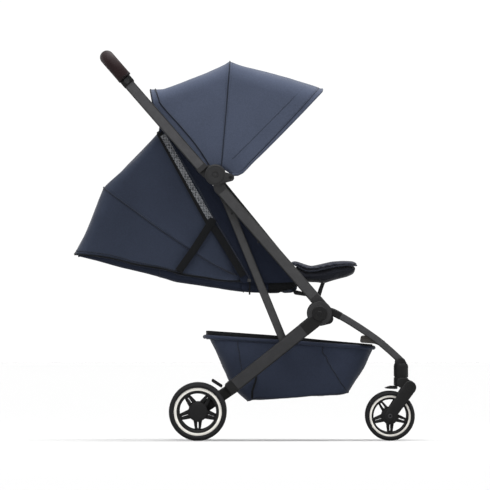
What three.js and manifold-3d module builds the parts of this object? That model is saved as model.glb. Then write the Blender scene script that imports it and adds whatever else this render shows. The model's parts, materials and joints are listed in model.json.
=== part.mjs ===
// Compact folding baby stroller, assembled from separate parts. Millimetres, +Z up, the child faces +X,
// the middle plane is Y = 0 and the floor is Z = 0. Parts of the left side (+Y) are mirrored to the right.
import * as THREE from "three";
import { mergeVertices } from "three/addons/utils/BufferGeometryUtils.js";
import Module from "manifold-3d";

const wasm = await Module();
wasm.setup();
const { Manifold, Mesh } = wasm;

// ---- Driving dimensions ----
const GAP = 0.4; // air between parts that touch
const LOWER = [202.4, 345.2]; // pivot of the legs (x, z)
const UPPER = [-80.5, 721.6]; // pivot of the handle and of the canopy bows
const TUBE_ANGLE = 131; // degrees of the main tube above +X
const TUBE_OFFSET = 18; // tube centreline ahead of the lower pivot
const TUBE_HIGH = 30;
const HANDLE_HIGH = 28.5;
const TUBE_IN = 170; // |y| of the main tube's inner and outer faces
const TUBE_OUT = 188;
const LEG_IN = 190; // rear leg layer
const LEG_OUT = 207;
const CRANK_IN = 160.5; // handle crank layer
const STRUT_IN = 150.5; // strut layer
const STRUT_OUT = 159.5;
const FRONT_IN = 150; // front leg layer
const FRONT_OUT = 168;
const FRONT_MID = 159;
const BOW_IN = 144; // layer of the fixed canopy bow and its rail
const BOW_OUT = 147;
const CRANK_END = [-52.5, 653.2]; // strut pivot on the handle crank
const STRUT_FOOT = [108.2, 261.1]; // strut pivot on the rear leg
const STRUT_WIDE = 22;
const REAR_LEG_HIGH = 36;
const REAR_AXLE = [-128.1, 78.5];
const FRONT_AXLE = [393.9, 67];
const SWIVEL_X = 424.3;
const REAR_WHEEL = { r: 78.5, ring: 65.4, open: 49.7, hub: 26.4, wide: 35, mid: 207.5 };
const FRONT_WHEEL = { r: 67, ring: 56.3, open: 45, hub: 22.8, wide: 32, mid: FRONT_MID };
const PIN = 6; // hinge pin radius
const BORE = 6.4;
const SEAT_SIDE = 140.5; // |y| of the side panels of the seat
const HOOD_SIDE = 136.5; // |y| of the rear hood
const PAD_SIDE = 131;
const CLOTH = 2.4; // thickness of one layer of padded fabric

// ---- Materials ----
const paint = (colour, roughness, metalness) =>
  new THREE.MeshStandardMaterial({ color: colour, roughness, metalness });
const GREY_METAL = [0x5a5a5b, 0.42, 0.6];
const BLACK = [0x232325, 0.55, 0.0];
const DARK = [0x3b3b3b, 0.5, 0.1];
const CANOPY_CLOTH = [0x444a58, 0.85, 0.0];
const HOOD_CLOTH = [0x363b47, 0.85, 0.0];
const LEATHER = [0x3c3537, 0.6, 0.0];
const RUBBER = [0x2a2a2c, 0.9, 0.0];

// ---- Geometry helpers ----
const rad = THREE.MathUtils.degToRad;
const along = new THREE.Vector2(Math.cos(rad(TUBE_ANGLE)), Math.sin(rad(TUBE_ANGLE)));
const ahead = new THREE.Vector2(along.y, -along.x);
// Point t mm up the main tube from the lower pivot and n mm to its front.
const onTube = (t, n) => [
  LOWER[0] + t * along.x + n * ahead.x,
  LOWER[1] + t * along.y + n * ahead.y,
];
const polar = (centre, r, degrees) => [
  centre[0] + r * Math.cos(rad(degrees)),
  centre[1] + r * Math.sin(rad(degrees)),
];
const mix = (p, q, s) => p.map((value, i) => value + (q[i] - value) * s);

function solidOf(geometry) {
  const flat = geometry.index ? geometry.toNonIndexed() : geometry;
  const bare = new THREE.BufferGeometry().setAttribute("position", flat.getAttribute("position"));
  const merged = mergeVertices(bare, 1e-3);
  return new Manifold(
    new Mesh({
      numProp: 3,
      vertProperties: merged.attributes.position.array,
      triVerts: new Uint32Array(merged.index.array),
    }),
  );
}

function geometryOf(solid) {
  const mesh = solid.getMesh();
  const points = new Float32Array(mesh.numVert * 3);
  for (let i = 0; i < mesh.numVert; i++)
    points.set(mesh.vertProperties.subarray(i * mesh.numProp, i * mesh.numProp + 3), i * 3);
  const indexed = new THREE.BufferGeometry()
    .setAttribute("position", new THREE.BufferAttribute(points, 3))
    .setIndex(new THREE.BufferAttribute(mesh.triVerts, 1));
  const flat = indexed.toNonIndexed();
  flat.computeVertexNormals();
  return flat;
}

const join = (...solids) => solids.reduce((all, one) => all.add(one));
const cut = (solid, ...tools) => tools.reduce((all, tool) => all.subtract(tool), solid);

const ring = (centre, r, count = 20) =>
  Array.from({ length: count }, (_, i) => polar(centre, r, (360 / count) * i));

// Convex outline around a list of (x, z) points.
function hull(points) {
  const sorted = [...points].sort((a, b) => a[0] - b[0] || a[1] - b[1]);
  const turn = (o, a, b) => (a[0] - o[0]) * (b[1] - o[1]) - (a[1] - o[1]) * (b[0] - o[0]);
  const half = (list) => {
    const out = [];
    for (const p of list) {
      while (out.length > 1 && turn(out.at(-2), out.at(-1), p) < 1e-6) out.pop();
      out.push(p);
    }
    out.pop();
    return out;
  };
  return [...half(sorted), ...half([...sorted].reverse())];
}
const link = (p, rp, q, rq, count = 16) => hull([...ring(p, rp, count), ...ring(q, rq, count)]);

// Outline with its corners rounded by radius r.
function rounded(points, r) {
  const out = [];
  points.forEach((p, i) => {
    const before = points.at(i - 1);
    const after = points[(i + 1) % points.length];
    const reach = (q) => Math.min(r / Math.hypot(q[0] - p[0], q[1] - p[1]), 0.45);
    const a = mix(p, before, reach(before));
    const b = mix(p, after, reach(after));
    for (const s of [0, 0.5, 1]) out.push(mix(mix(a, p, s), mix(p, b, s), s));
  });
  return out;
}

const vectors = (points) => points.map(([a, b]) => new THREE.Vector2(a, b));

// Outline in x and z, filled between two values of y.
function plate(outline, y0, y1) {
  const shape = new THREE.Shape(vectors(outline));
  const geometry = new THREE.ExtrudeGeometry(shape, { depth: y1 - y0, bevelEnabled: false });
  geometry.rotateX(Math.PI / 2).translate(0, y1, 0);
  return solidOf(geometry);
}
const disc = (centre, r, y0, y1, count = 24) => plate(ring(centre, r, count), y0, y1);

// Rounded rectangle section: high in the XZ plane, wide along Y.
function section(high, wide, r) {
  const [a, b] = [high / 2, wide / 2];
  return rounded([[-a, -b], [a, -b], [a, b], [-a, b]], r);
}

// Straight tube between two (x, z) points, hollow when it has a wall.
function tube(p, q, y, high, wide, wall) {
  const shape = new THREE.Shape(vectors(section(high, wide, 6)));
  if (wall) shape.holes.push(new THREE.Path(vectors(section(high - 2 * wall, wide - 2 * wall, 4))));
  const run = new THREE.Vector3(q[0] - p[0], 0, q[1] - p[1]);
  const geometry = new THREE.ExtrudeGeometry(shape, { depth: run.length(), bevelEnabled: false });
  const axis = run.normalize();
  const side = new THREE.Vector3(0, 1, 0);
  const up = side.clone().cross(axis);
  geometry.applyMatrix4(new THREE.Matrix4().makeBasis(up, side, axis).setPosition(p[0], y, p[1]));
  return solidOf(geometry);
}

// Section swept along a smooth curve through 3-D points.
function sweep(points, outline, steps) {
  const curve = new THREE.CatmullRomCurve3(points.map((p) => new THREE.Vector3(...p)));
  const shape = new THREE.Shape(vectors(outline));
  return solidOf(new THREE.ExtrudeGeometry(shape, { extrudePath: curve, steps }));
}

// Ring turned about a Y axis from a closed (radius, y) profile.
function turned(profile, centre, y, count) {
  const closed = vectors([...profile, profile[0]]);
  const geometry = new THREE.LatheGeometry(closed, count);
  geometry.translate(centre[0], y, -centre[1]).applyMatrix4(
    new THREE.Matrix4().set(1, 0, 0, 0, 0, 1, 0, 0, 0, 0, -1, 0, 0, 0, 0, 1),
  );
  return solidOf(flipped(geometry));
}

function flipped(geometry) {
  const index = geometry.index.array;
  for (let i = 0; i < index.length; i += 3) [index[i + 1], index[i + 2]] = [index[i + 2], index[i + 1]];
  return geometry;
}

// Closed layer of the given thickness over a grid of 3-D points.
function layer(rows, thickness) {
  const grid = rows.map((row) => row.map((p) => new THREE.Vector3(...p)));
  const [high, wide] = [grid.length, grid[0].length];
  const pick = (i, j) => grid[Math.max(0, Math.min(high - 1, i))][Math.max(0, Math.min(wide - 1, j))];
  const points = [];
  for (const side of [1, -1])
    for (let i = 0; i < high; i++)
      for (let j = 0; j < wide; j++) {
        const du = pick(i + 1, j).clone().sub(pick(i - 1, j));
        const dv = pick(i, j + 1).clone().sub(pick(i, j - 1));
        const normal = du.cross(dv).normalize().multiplyScalar((side * thickness) / 2);
        points.push(...grid[i][j].clone().add(normal).toArray());
      }
  const id = (side, i, j) => side * high * wide + i * wide + j;
  const faces = [];
  const quad = (a, b, c, d) => faces.push(a, b, c, a, c, d);
  for (let i = 0; i < high - 1; i++)
    for (let j = 0; j < wide - 1; j++) {
      quad(id(0, i, j), id(0, i + 1, j), id(0, i + 1, j + 1), id(0, i, j + 1));
      quad(id(1, i, j), id(1, i, j + 1), id(1, i + 1, j + 1), id(1, i + 1, j));
    }
  for (let i = 0; i < high - 1; i++) {
    quad(id(0, i + 1, 0), id(0, i, 0), id(1, i, 0), id(1, i + 1, 0));
    quad(id(0, i, wide - 1), id(0, i + 1, wide - 1), id(1, i + 1, wide - 1), id(1, i, wide - 1));
  }
  for (let j = 0; j < wide - 1; j++) {
    quad(id(0, 0, j), id(0, 0, j + 1), id(1, 0, j + 1), id(1, 0, j));
    quad(id(0, high - 1, j + 1), id(0, high - 1, j), id(1, high - 1, j), id(1, high - 1, j + 1));
  }
  const geometry = new THREE.BufferGeometry()
    .setAttribute("position", new THREE.Float32BufferAttribute(points, 3))
    .setIndex(faces);
  const solid = solidOf(geometry);
  return solid.volume() < 0 ? solidOf(flipped(geometry)) : solid;
}

// Fabric arch: up one side along (x, z) points, round a corner, across the top and down the other side.
function arch(side, top, low, high, corner) {
  const lengths = side.map((p, i) => (i ? Math.hypot(p[0] - side[i - 1][0], p[1] - side[i - 1][1]) : 0));
  const last = side.at(-1);
  const reach = corner / Math.hypot(top[0] - last[0], top[1] - last[1]);
  const spring = mix(top, last, Math.min(reach, 0.9));
  const route = [...side, spring];
  lengths.push(Math.hypot(spring[0] - last[0], spring[1] - last[1]));
  const total = lengths.reduce((sum, one) => sum + one);
  const points = [];
  for (let k = 0; k < 5; k++) {
    let left = (total * k) / 5;
    let i = 1;
    while (left > lengths[i] && i < route.length - 1) left -= lengths[i++];
    const [x, z] = mix(route[i - 1], route[i], left / lengths[i]);
    points.push([x, low + ((high - low) * k) / 5, z]);
  }
  for (let k = 0; k <= 3; k++) {
    const [x, z] = mix(spring, top, Math.sin((k * Math.PI) / 6));
    points.push([x, high - corner * (1 - Math.cos((k * Math.PI) / 6)), z]);
  }
  points.push([top[0], (high - corner) / 2, top[1]]);
  const other = [...points].reverse().map(([x, y, z]) => [x, -y, z]);
  return [...points, [top[0], 0, top[1]], ...other];
}
const between = (a, b, steps) =>
  Array.from({ length: steps + 1 }, (_, k) => a.map((p, i) => mix(p, b[i], k / steps)));

// ---- The group of named parts ----
const stroller = new THREE.Group();
stroller.name = "baby_stroller";
function add(name, solid, material, mirrored = false) {
  const mesh = new THREE.Mesh(geometryOf(solid), paint(...material));
  mesh.name = name;
  if (mirrored) mesh.scale.y = -1;
  stroller.add(mesh);
}
function pair(name, solid, material) {
  add(name + "_L", solid, material);
  add(name + "_R", solid, material, true);
}

// ---- Main tubes, the fixed body ----
const TUBE_Y = (TUBE_IN + TUBE_OUT) / 2;
const TUBE_WIDE = TUBE_OUT - TUBE_IN;
const LOW_SEAM = 46;
const UP = 469.7; // distance of the upper pivot along the tube
const HIGH_SEAM = 421;
const tubeEdge = (t) => [onTube(t, TUBE_OFFSET - TUBE_HIGH / 2), onTube(t, TUBE_OFFSET + TUBE_HIGH / 2)];

pair(
  "main_tube",
  tube(onTube(LOW_SEAM, TUBE_OFFSET), onTube(HIGH_SEAM, TUBE_OFFSET), TUBE_Y, TUBE_HIGH, TUBE_WIDE, 2),
  GREY_METAL,
);

const SMALL_BOLT = [-38.9, 714.5];
const lobe = hull([
  ...ring(UPPER, 15),
  ...ring(SMALL_BOLT, 9.5, 16),
  ...ring(polar(UPPER, 18, -90), 10, 16),
]);
pair(
  "main_hinge_upper",
  join(
    plate(hull([...tubeEdge(HIGH_SEAM + GAP), ...tubeEdge(435.5)]), TUBE_IN, TUBE_OUT),
    plate(hull([...tubeEdge(430), ...tubeEdge(440)]), 179, TUBE_OUT),
    disc(UPPER, 28.4, 179, TUBE_OUT),
    plate(hull([...tubeEdge(439), ...ring(UPPER, 12, 16)]), 179, TUBE_OUT),
    disc(UPPER, 28.4, TUBE_OUT - 1, 194.5),
    plate(lobe, TUBE_OUT + GAP, 193),
    disc(UPPER, PIN, CRANK_IN, 179.5, 16),
  ),
  DARK,
);

pair(
  "main_hinge_lower",
  join(
    disc(LOWER, 32.6, TUBE_IN, TUBE_OUT),
    plate(hull([...tubeEdge(LOW_SEAM - GAP), ...tubeEdge(10)]), TUBE_IN, TUBE_OUT),
    disc(LOWER, PIN, FRONT_IN - 2, 209, 16),
    disc(LOWER, 20.8, LEG_OUT + GAP, 212),
  ),
  DARK,
);

const CROSSBAR = [157.8, 427.9];
add("seat_crossbar", disc(CROSSBAR, 8, GAP - TUBE_IN, TUBE_IN - GAP, 20), DARK);

// ---- Seat ----
const PAN_TOP = 436;
add(
  "seat_pan",
  plate(rounded([[6, 412], [60, 402], [147, 404], [147, PAN_TOP], [6, PAN_TOP]], 8), -PAD_SIDE, PAD_SIDE),
  BLACK,
);
pair(
  "seat_side",
  plate(
    [[-48, 650], [-231, 842], [-103, 552], [0, 424], [57, 404], [146, 441]],
    SEAT_SIDE,
    SEAT_SIDE + CLOTH,
  ),
  HOOD_CLOTH,
);

// ---- Rear hood: a tent of fabric from the handle tubes down to the reclined back ----
const HOOD_CORNER = 34;
const hoodArch = (side, top) => arch(side, top, HOOD_SIDE, HOOD_SIDE, HOOD_CORNER);
const hoodFront = hoodArch([[2, 452], [-103, 552], [-214, 780]], [-244.8, 841]);
const hoodSeam = hoodArch([[0, 450], [-82, 512], [-177, 586], [-231, 621], [-340, 693]], [-369.9, 716]);
const hoodZip = hoodArch([[-2, 447], [-204, 469], [-231, 482], [-313, 493], [-381, 509]], [-463.8, 513]);
add(
  "rear_hood",
  layer([...between(hoodFront, hoodSeam, 2), ...between(hoodSeam, hoodZip, 3).slice(1)], CLOTH),
  HOOD_CLOTH,
);

// ---- Backrest: a shallow fabric tray with a pad in it, both turning about the back of the seat ----
const TRAY_SIDE = HOOD_SIDE - 2.5;
const trayFoot = [[-4, 410], [-199, 447], [-258, 467], [-450, 506]];
const trayTop = [[-452, 512], [-381, 506], [-313, 490], [-231, 478], [-204, 465], [-4, 441]];
const trayRoom = [[-1, 412.5], [-199, 449.8], [-258, 469.8], [-447, 508.5], [-447, 540], [-1, 540]];
add(
  "backrest_shell",
  cut(
    plate([...trayFoot, ...trayTop], -TRAY_SIDE, TRAY_SIDE),
    plate(trayRoom, CLOTH - TRAY_SIDE, TRAY_SIDE - CLOTH),
  ),
  HOOD_CLOTH,
);
const padFoot = [[-12, 418], [-199, 451], [-258, 471], [-440, 510]];
const padTop = [[-434, 530], [-254, 496], [-196, 477], [-12, 446]];
add("backrest_pad", plate(rounded([...padFoot, ...padTop], 5), -PAD_SIDE, PAD_SIDE), BLACK);

// ---- Harness buckle on the seat ----
const BUCKLE = [96, 0, 455];
add(
  "harness_buckle",
  cut(
    join(
      plate(rounded([[84, PAN_TOP + GAP], [108, PAN_TOP + GAP], [108, 474], [84, 474]], 5), -22, 22),
      plate([[88, PAN_TOP + GAP], [104, PAN_TOP + GAP], [104, 444], [88, 444]], -30, 30),
    ),
    solidOf(new THREE.CylinderGeometry(9.4, 9.4, 12, 20).rotateZ(Math.PI / 2).translate(106, 0, BUCKLE[2])),
  ),
  BLACK,
);
add(
  "buckle_button",
  solidOf(new THREE.CylinderGeometry(9, 9, 6, 20).rotateZ(Math.PI / 2).translate(106, 0, BUCKLE[2])),
  DARK,
);

// ---- Canopy bows, U-shaped ribs that turn about the upper pivot ----
const BOW_STRAIGHT = 128; // each bow stays in its layer up to this radius, clear of the strut
const BOW_SPLAY = 0.105; // how much it widens with its radius from there on
const BOW_DEEP = 10;
function bow(degrees, r, inner, outer) {
  const corner = 44;
  const leg = (y, top, bend) => {
    const knee = top - bend;
    const at = (radius) => y + BOW_SPLAY * Math.max(0, radius - BOW_STRAIGHT);
    const points = [[y, 0], [y, BOW_STRAIGHT], [at(knee), knee]];
    for (let k = 1; k <= 4; k++) {
      const angle = (k * Math.PI) / 8;
      points.push([at(knee) - bend * (1 - Math.cos(angle)), knee + bend * Math.sin(angle)]);
    }
    return points;
  };
  const out = leg(outer, r, corner);
  const inn = leg(inner, r - 4, corner - 4);
  const mirror = (points) => [...points].reverse().map(([y, z]) => [-y, z]);
  const outline = [...out, ...mirror(out), ...mirror(inn).reverse(), ...[...inn].reverse()];
  const shape = new THREE.Shape(vectors(outline));
  const geometry = new THREE.ExtrudeGeometry(shape, { depth: BOW_DEEP, bevelEnabled: false });
  const [c, s] = [Math.cos(rad(degrees)), Math.sin(rad(degrees))];
  const basis = new THREE.Matrix4().makeBasis(
    new THREE.Vector3(0, 1, 0),
    new THREE.Vector3(c, 0, s),
    new THREE.Vector3(s, 0, -c),
  );
  const shift = BOW_DEEP / 2;
  basis.setPosition(UPPER[0] - shift * s, 0, UPPER[1] + shift * c);
  const hub = (sign) =>
    sign > 0 ? disc(UPPER, 12, inner, outer, 20) : disc(UPPER, 12, -outer, -inner, 20);
  return join(solidOf(geometry.applyMatrix4(basis)), hub(1), hub(-1));
}
const RAIL_FOOT = onTube(200, 27);
const rail = join(
  plate(link(RAIL_FOOT, 6, UPPER, 8), BOW_IN, BOW_OUT),
  disc(RAIL_FOOT, 5, BOW_IN, TUBE_IN - GAP, 16),
  disc(UPPER, 5, BOW_IN - 9.5, BOW_IN + 1, 16),
);
const railOther = rail.mirror([0, 1, 0]);
const CANOPY_REAR = 127.6;
const CANOPY_MID = 82.7;
const CANOPY_FRONT = 40.2;
add("canopy_rear_bow", join(bow(CANOPY_REAR, 284, BOW_IN, BOW_OUT), rail, railOther), BLACK);
const hubBore = join(disc(UPPER, 5.4, 100, 170, 16), disc(UPPER, 5.4, -170, -100, 16));
add("canopy_mid_bow", cut(bow(CANOPY_MID, 303, BOW_IN - 4, BOW_OUT - 4), hubBore), BLACK);
add("canopy_front_bow", cut(bow(CANOPY_FRONT, 357, BOW_IN - 8, BOW_OUT - 8), hubBore), BLACK);

// ---- Canopy fabric ----
const CANOPY_LOW = 149.2;
const CANOPY_HIGH = 163.5;
const canopyArch = (side, top) => arch(side, top, CANOPY_LOW, CANOPY_HIGH, 46);
const canopyRear = canopyArch([[-90, 746], [-200, 880]], [-258, 953]);
const canopyMidRear = canopyArch([[-66, 745], [-52, 900]], [-42.5, 1031]);
const canopyMidFront = canopyArch([[-62, 738], [-49, 900]], [-39.5, 1031]);
const canopyTip = canopyArch([[-14, 707], [35, 741], [63, 771], [160, 891]], [209.4, 953]);
add("canopy_rear_panel", layer(between(canopyRear, canopyMidRear, 3), CLOTH), CANOPY_CLOTH);
add("canopy_front_panel", layer(between(canopyMidFront, canopyTip, 3), CLOTH), CANOPY_CLOTH);

// ---- Handle ----
const HANDLE_START = 515;
const COLLAR = [808, 830];
pair(
  "handle_tube",
  tube(
    onTube(HANDLE_START, TUBE_OFFSET),
    onTube(COLLAR[0] - GAP, TUBE_OFFSET),
    TUBE_Y,
    HANDLE_HIGH,
    TUBE_WIDE,
    2,
  ),
  GREY_METAL,
);
pair(
  "handle_hinge",
  cut(
    join(
      plate(hull([...tubeEdge(HANDLE_START - GAP), ...tubeEdge(500.5)]), TUBE_IN, TUBE_OUT),
      plate(hull([...tubeEdge(505), ...ring(UPPER, 26)]), TUBE_IN, 178.5),
      plate(link(UPPER, 16, CRANK_END, 11), CRANK_IN, TUBE_IN - GAP),
      disc(UPPER, 16, CRANK_IN, TUBE_IN + 1),
    ),
    disc(UPPER, BORE, 150, 180, 20),
  ),
  DARK,
);
const collarEdge = (t) => [onTube(t, TUBE_OFFSET - 15.5), onTube(t, TUBE_OFFSET + 17.5)];
const BUTTON = onTube((COLLAR[0] + COLLAR[1]) / 2, TUBE_OFFSET + 1);
pair(
  "handle_collar",
  cut(
    plate(hull([...collarEdge(COLLAR[0]), ...collarEdge(COLLAR[1])]), TUBE_IN - 3, TUBE_OUT + 3),
    disc(BUTTON, 8.4, 181, 195, 20),
  ),
  BLACK,
);
pair("release_button", disc(BUTTON, 8, 185.5, 192.5, 20), GREY_METAL);

const GRIP_R = 19.5;
const gripAt = (t, y) => {
  const [x, z] = onTube(t, TUBE_OFFSET + 2.5);
  return [x, y, z];
};
const gripHalf = [
  gripAt(COLLAR[1] + GAP, TUBE_Y),
  gripAt(852, TUBE_Y),
  gripAt(882, 168),
  gripAt(899, 142),
  gripAt(904, 104),
  gripAt(904, 52),
];
const gripPath = [...gripHalf, ...[...gripHalf].reverse().map(([x, y, z]) => [x, -y, z])];
add("handle_grip", sweep(gripPath, ring([0, 0], GRIP_R, 12), 22), LEATHER);

// ---- Rear legs ----
const LEG_Y = (LEG_IN + LEG_OUT) / 2;
const LEG_TOP = [159, 299.8];
const LEG_END = [-26.5, 151.6];
const legRun = new THREE.Vector2(LEG_END[0] - LEG_TOP[0], LEG_END[1] - LEG_TOP[1]).normalize();
// Point d mm down the rear leg from the given place and w mm to its back.
const onLeg = (place, d, w) => [
  place[0] + legRun.x * d - legRun.y * w,
  place[1] + legRun.y * d + legRun.x * w,
];
const belowSeam = [[-GAP, -40], [60, -40], [60, 40], [-GAP, 40]].map(([d, w]) => onLeg(LEG_TOP, d, w));
pair(
  "rear_hinge",
  cut(
    join(
      disc(LOWER, 32.6, LEG_IN, LEG_OUT - GAP),
      plate(hull([...ring(LOWER, 22), ...ring(mix(LEG_TOP, LOWER, 0.08), 16, 16)]), LEG_IN, LEG_OUT - GAP)
        .subtract(plate(belowSeam, LEG_IN - 1, LEG_OUT + 1)),
    ),
    disc(LOWER, BORE, 180, 220, 20),
  ),
  DARK,
);
pair(
  "rear_leg",
  join(
    tube(LEG_TOP, LEG_END, LEG_Y, REAR_LEG_HIGH, LEG_OUT - LEG_IN, 2),
    disc(STRUT_FOOT, 9, STRUT_OUT + GAP, LEG_IN + 1.5, 20),
    disc(STRUT_FOOT, 4.6, STRUT_IN - 2, STRUT_OUT + 1, 16),
  ),
  GREY_METAL,
);
const footSide = (d, w) => onLeg(LEG_END, GAP + d, w);
const FOOT_ARM = [-42, 136];
pair(
  "rear_foot",
  join(
    plate(
      rounded([footSide(0, -19), footSide(24, -17), footSide(24, 17), footSide(0, 19)], 5),
      164,
      LEG_OUT + 1,
    ),
    plate(link(FOOT_ARM, 15, REAR_AXLE, 15), 164, 188.5),
    disc(REAR_AXLE, PIN, 188, 223, 20),
  ),
  BLACK,
);
add("rear_axle", disc(REAR_AXLE, 8, GAP - 164, 164 - GAP, 20), BLACK);
const PEDAL = [-64.7, 147.7];
pair("brake_pedal", plate(link([-87.6, 162.4], 3.5, PEDAL, 3.5, 12), 167, 187), BLACK);

// ---- Struts ----
pair(
  "strut",
  cut(
    plate(link(CRANK_END, STRUT_WIDE / 2, STRUT_FOOT, STRUT_WIDE / 2), STRUT_IN, STRUT_OUT),
    disc(STRUT_FOOT, 5, 100, 200, 16),
  ),
  GREY_METAL,
);

// ---- Basket, an open tub of fabric under the seat ----
const BASKET_SIDE = 128;
const basketBack = [[-94, 283], [-92, 270], [-43.5, 164], [-14, 131], [0, 110], [30, 116]];
const basketFront = [[281.5, 131], [324, 197], [349, 253.5], [299, 262], [163, 264], [87, 269], [-14, 280]];
const roomBack = [[-92, 290], [-88, 270], [-40, 167], [-11, 134], [2, 114], [31, 119.5]];
const roomFront = [[279, 134.5], [320, 199], [342, 246], [344, 300], [-60, 300]];
add(
  "basket",
  cut(
    plate([...basketBack, ...basketFront], -BASKET_SIDE, BASKET_SIDE),
    plate([...roomBack, ...roomFront], CLOTH * 1.5 - BASKET_SIDE, BASKET_SIDE - CLOTH * 1.5),
  ),
  HOOD_CLOTH,
);

// ---- Front legs ----
const FRONT_LEG_END = [421, 219];
const legLine = [[222, 352.5], [239, 349], [277.4, 327.8], [319.3, 301.4], [359.9, 273.1], [397.1, 241.5]];
const frontRun = (inset) =>
  sweep(
    [...legLine, FRONT_LEG_END].map(([x, z]) => [x, FRONT_MID, z]),
    section(19 + inset, FRONT_OUT - FRONT_IN + inset, 5).map(([a, b]) => [b, a]),
    9,
  );
pair(
  "front_leg",
  cut(join(disc(LOWER, 34, FRONT_IN, FRONT_OUT), frontRun(0)), disc(LOWER, BORE, 140, 180, 20)),
  GREY_METAL,
);
const upright = (x, y, r, z0, z1) => {
  const geometry = new THREE.CylinderGeometry(r, r, z1 - z0, 24).rotateX(Math.PI / 2);
  return solidOf(geometry.translate(x, y, (z0 + z1) / 2));
};
const COLUMN_SEAM = 171;
pair(
  "front_column",
  cut(
    join(
      upright(SWIVEL_X, FRONT_MID, 18.7, COLUMN_SEAM + GAP, 207),
      plate(link([SWIVEL_X - 2, 212], 14, [SWIVEL_X + 2, 200], 16), FRONT_IN - 3, FRONT_OUT + 3),
    ),
    frontRun(2 * GAP),
    plate(ring(FRONT_LEG_END, 10.5), FRONT_IN - GAP, FRONT_OUT + GAP),
  ),
  BLACK,
);
const stepFoot = [[313, 266], [352, 263], [378, 252], [396, 246]];
const stepTop = [[399, 251], [376, 272], [345, 286], [316, 284]];
add("front_footrest", plate(rounded([...stepFoot, ...stepTop], 5), GAP - FRONT_IN, FRONT_IN - GAP), DARK);

// ---- Casters ----
const FORK_TOP = [447.2, 144.4];
const FORK_GAP = 18.4; // half the space between the fork's arms
const forkArm = link(FORK_TOP, 17.6, FRONT_AXLE, 14.5);
const headBlock = hull([
  ...ring([SWIVEL_X, 157], 13, 16),
  ...ring(FORK_TOP, 16, 16),
  [SWIVEL_X + 14, COLUMN_SEAM - 1],
]);
pair(
  "caster_fork",
  cut(
    join(
      plate(forkArm, FRONT_MID + FORK_GAP, FRONT_MID + FORK_GAP + 8.6),
      plate(forkArm, FRONT_MID - FORK_GAP - 8.6, FRONT_MID - FORK_GAP),
      plate(headBlock, FRONT_MID - FORK_GAP - 1, FRONT_MID + FORK_GAP + 1),
      upright(SWIVEL_X, FRONT_MID, 18.7, 147, COLUMN_SEAM),
      disc(FRONT_AXLE, PIN, FRONT_MID - FORK_GAP - 1, FRONT_MID + FORK_GAP + 1, 20),
    ),
    plate([[380, 138], [416, 138], [416, 149], [380, 149]], FRONT_MID - 9, FRONT_MID + 9),
  ),
  BLACK,
);
const LOCK = [410.5, 143.6];
const lockSide = hull([...ring(LOCK, 3.6, 12), ...ring([396, 144], 3.6, 12), [378.5, 142]]);
pair("swivel_lock", plate(lockSide, FRONT_MID - 8, FRONT_MID + 8), BLACK);

// ---- Wheels ----
function wheel(name, size, axle) {
  const half = size.wide / 2;
  const hubHalf = half - 1.2;
  const spoke = (degrees, offset) => {
    const [c, s] = [Math.cos(rad(degrees)), Math.sin(rad(degrees))];
    const place = (r, w) => [axle[0] + r * c - (w + offset) * s, axle[1] + r * s + (w + offset) * c];
    const [r0, r1] = [size.hub - 3, size.open + 3];
    const outline = [place(r0, -3.6), place(r1, -3.6), place(r1, 3.6), place(r0, 3.6)];
    return plate(outline, size.mid - 4, size.mid + 7);
  };
  const wheelRing = (r0, r1, y0, y1, count) => {
    const full = disc(axle, r1, size.mid + y0, size.mid + y1, count);
    return cut(full, disc(axle, r0, size.mid + y0 - 1, size.mid + y1 + 1, count));
  };
  let rim = join(
    wheelRing(BORE, size.hub, -hubHalf, hubHalf - 3, 20),
    wheelRing(size.open, size.ring, 5 - half, half - 5, 32),
  );
  for (let k = 0; k < 5; k++)
    for (const offset of [-5.6, 5.6]) rim = rim.add(spoke(-90 + 72 * k, offset));
  pair(name + "_rim", rim, DARK);
  const [r0, r1] = [size.ring + GAP, size.r];
  const inner = [[r0, 2 - half], [r1 - 6, -half], [r1, 8 - half]];
  const outer = [[r1, half - 8], [r1 - 6, half], [r0, half - 2]];
  pair(name + "_tyre", turned([...inner, ...outer], axle, size.mid, 32), RUBBER);
}
wheel("rear_wheel", REAR_WHEEL, REAR_AXLE);
wheel("front_wheel", FRONT_WHEEL, FRONT_AXLE);

// ---- Leg rest ----
const restTop = [[168.5, 442], [182, 458], [225, 470], [272, 480], [297, 479], [308.7, 468.7]];
const restFoot = [[296.5, 456], [272, 441.5], [204, 425], [173, 424]];
add("leg_rest_pad", plate(rounded([...restTop, ...restFoot], 5), -PAD_SIDE, PAD_SIDE), CANOPY_CLOTH);

export default stroller;
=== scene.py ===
"""Looks of the folding baby stroller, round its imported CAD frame. Metres, +Z up, the child faces +X.

Helpers take places and sizes in millimetres. The camera looks along +Y, at the stroller's right side.
"""

import json
import math

import bmesh
import bpy
import numpy as np
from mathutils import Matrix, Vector, noise


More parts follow.
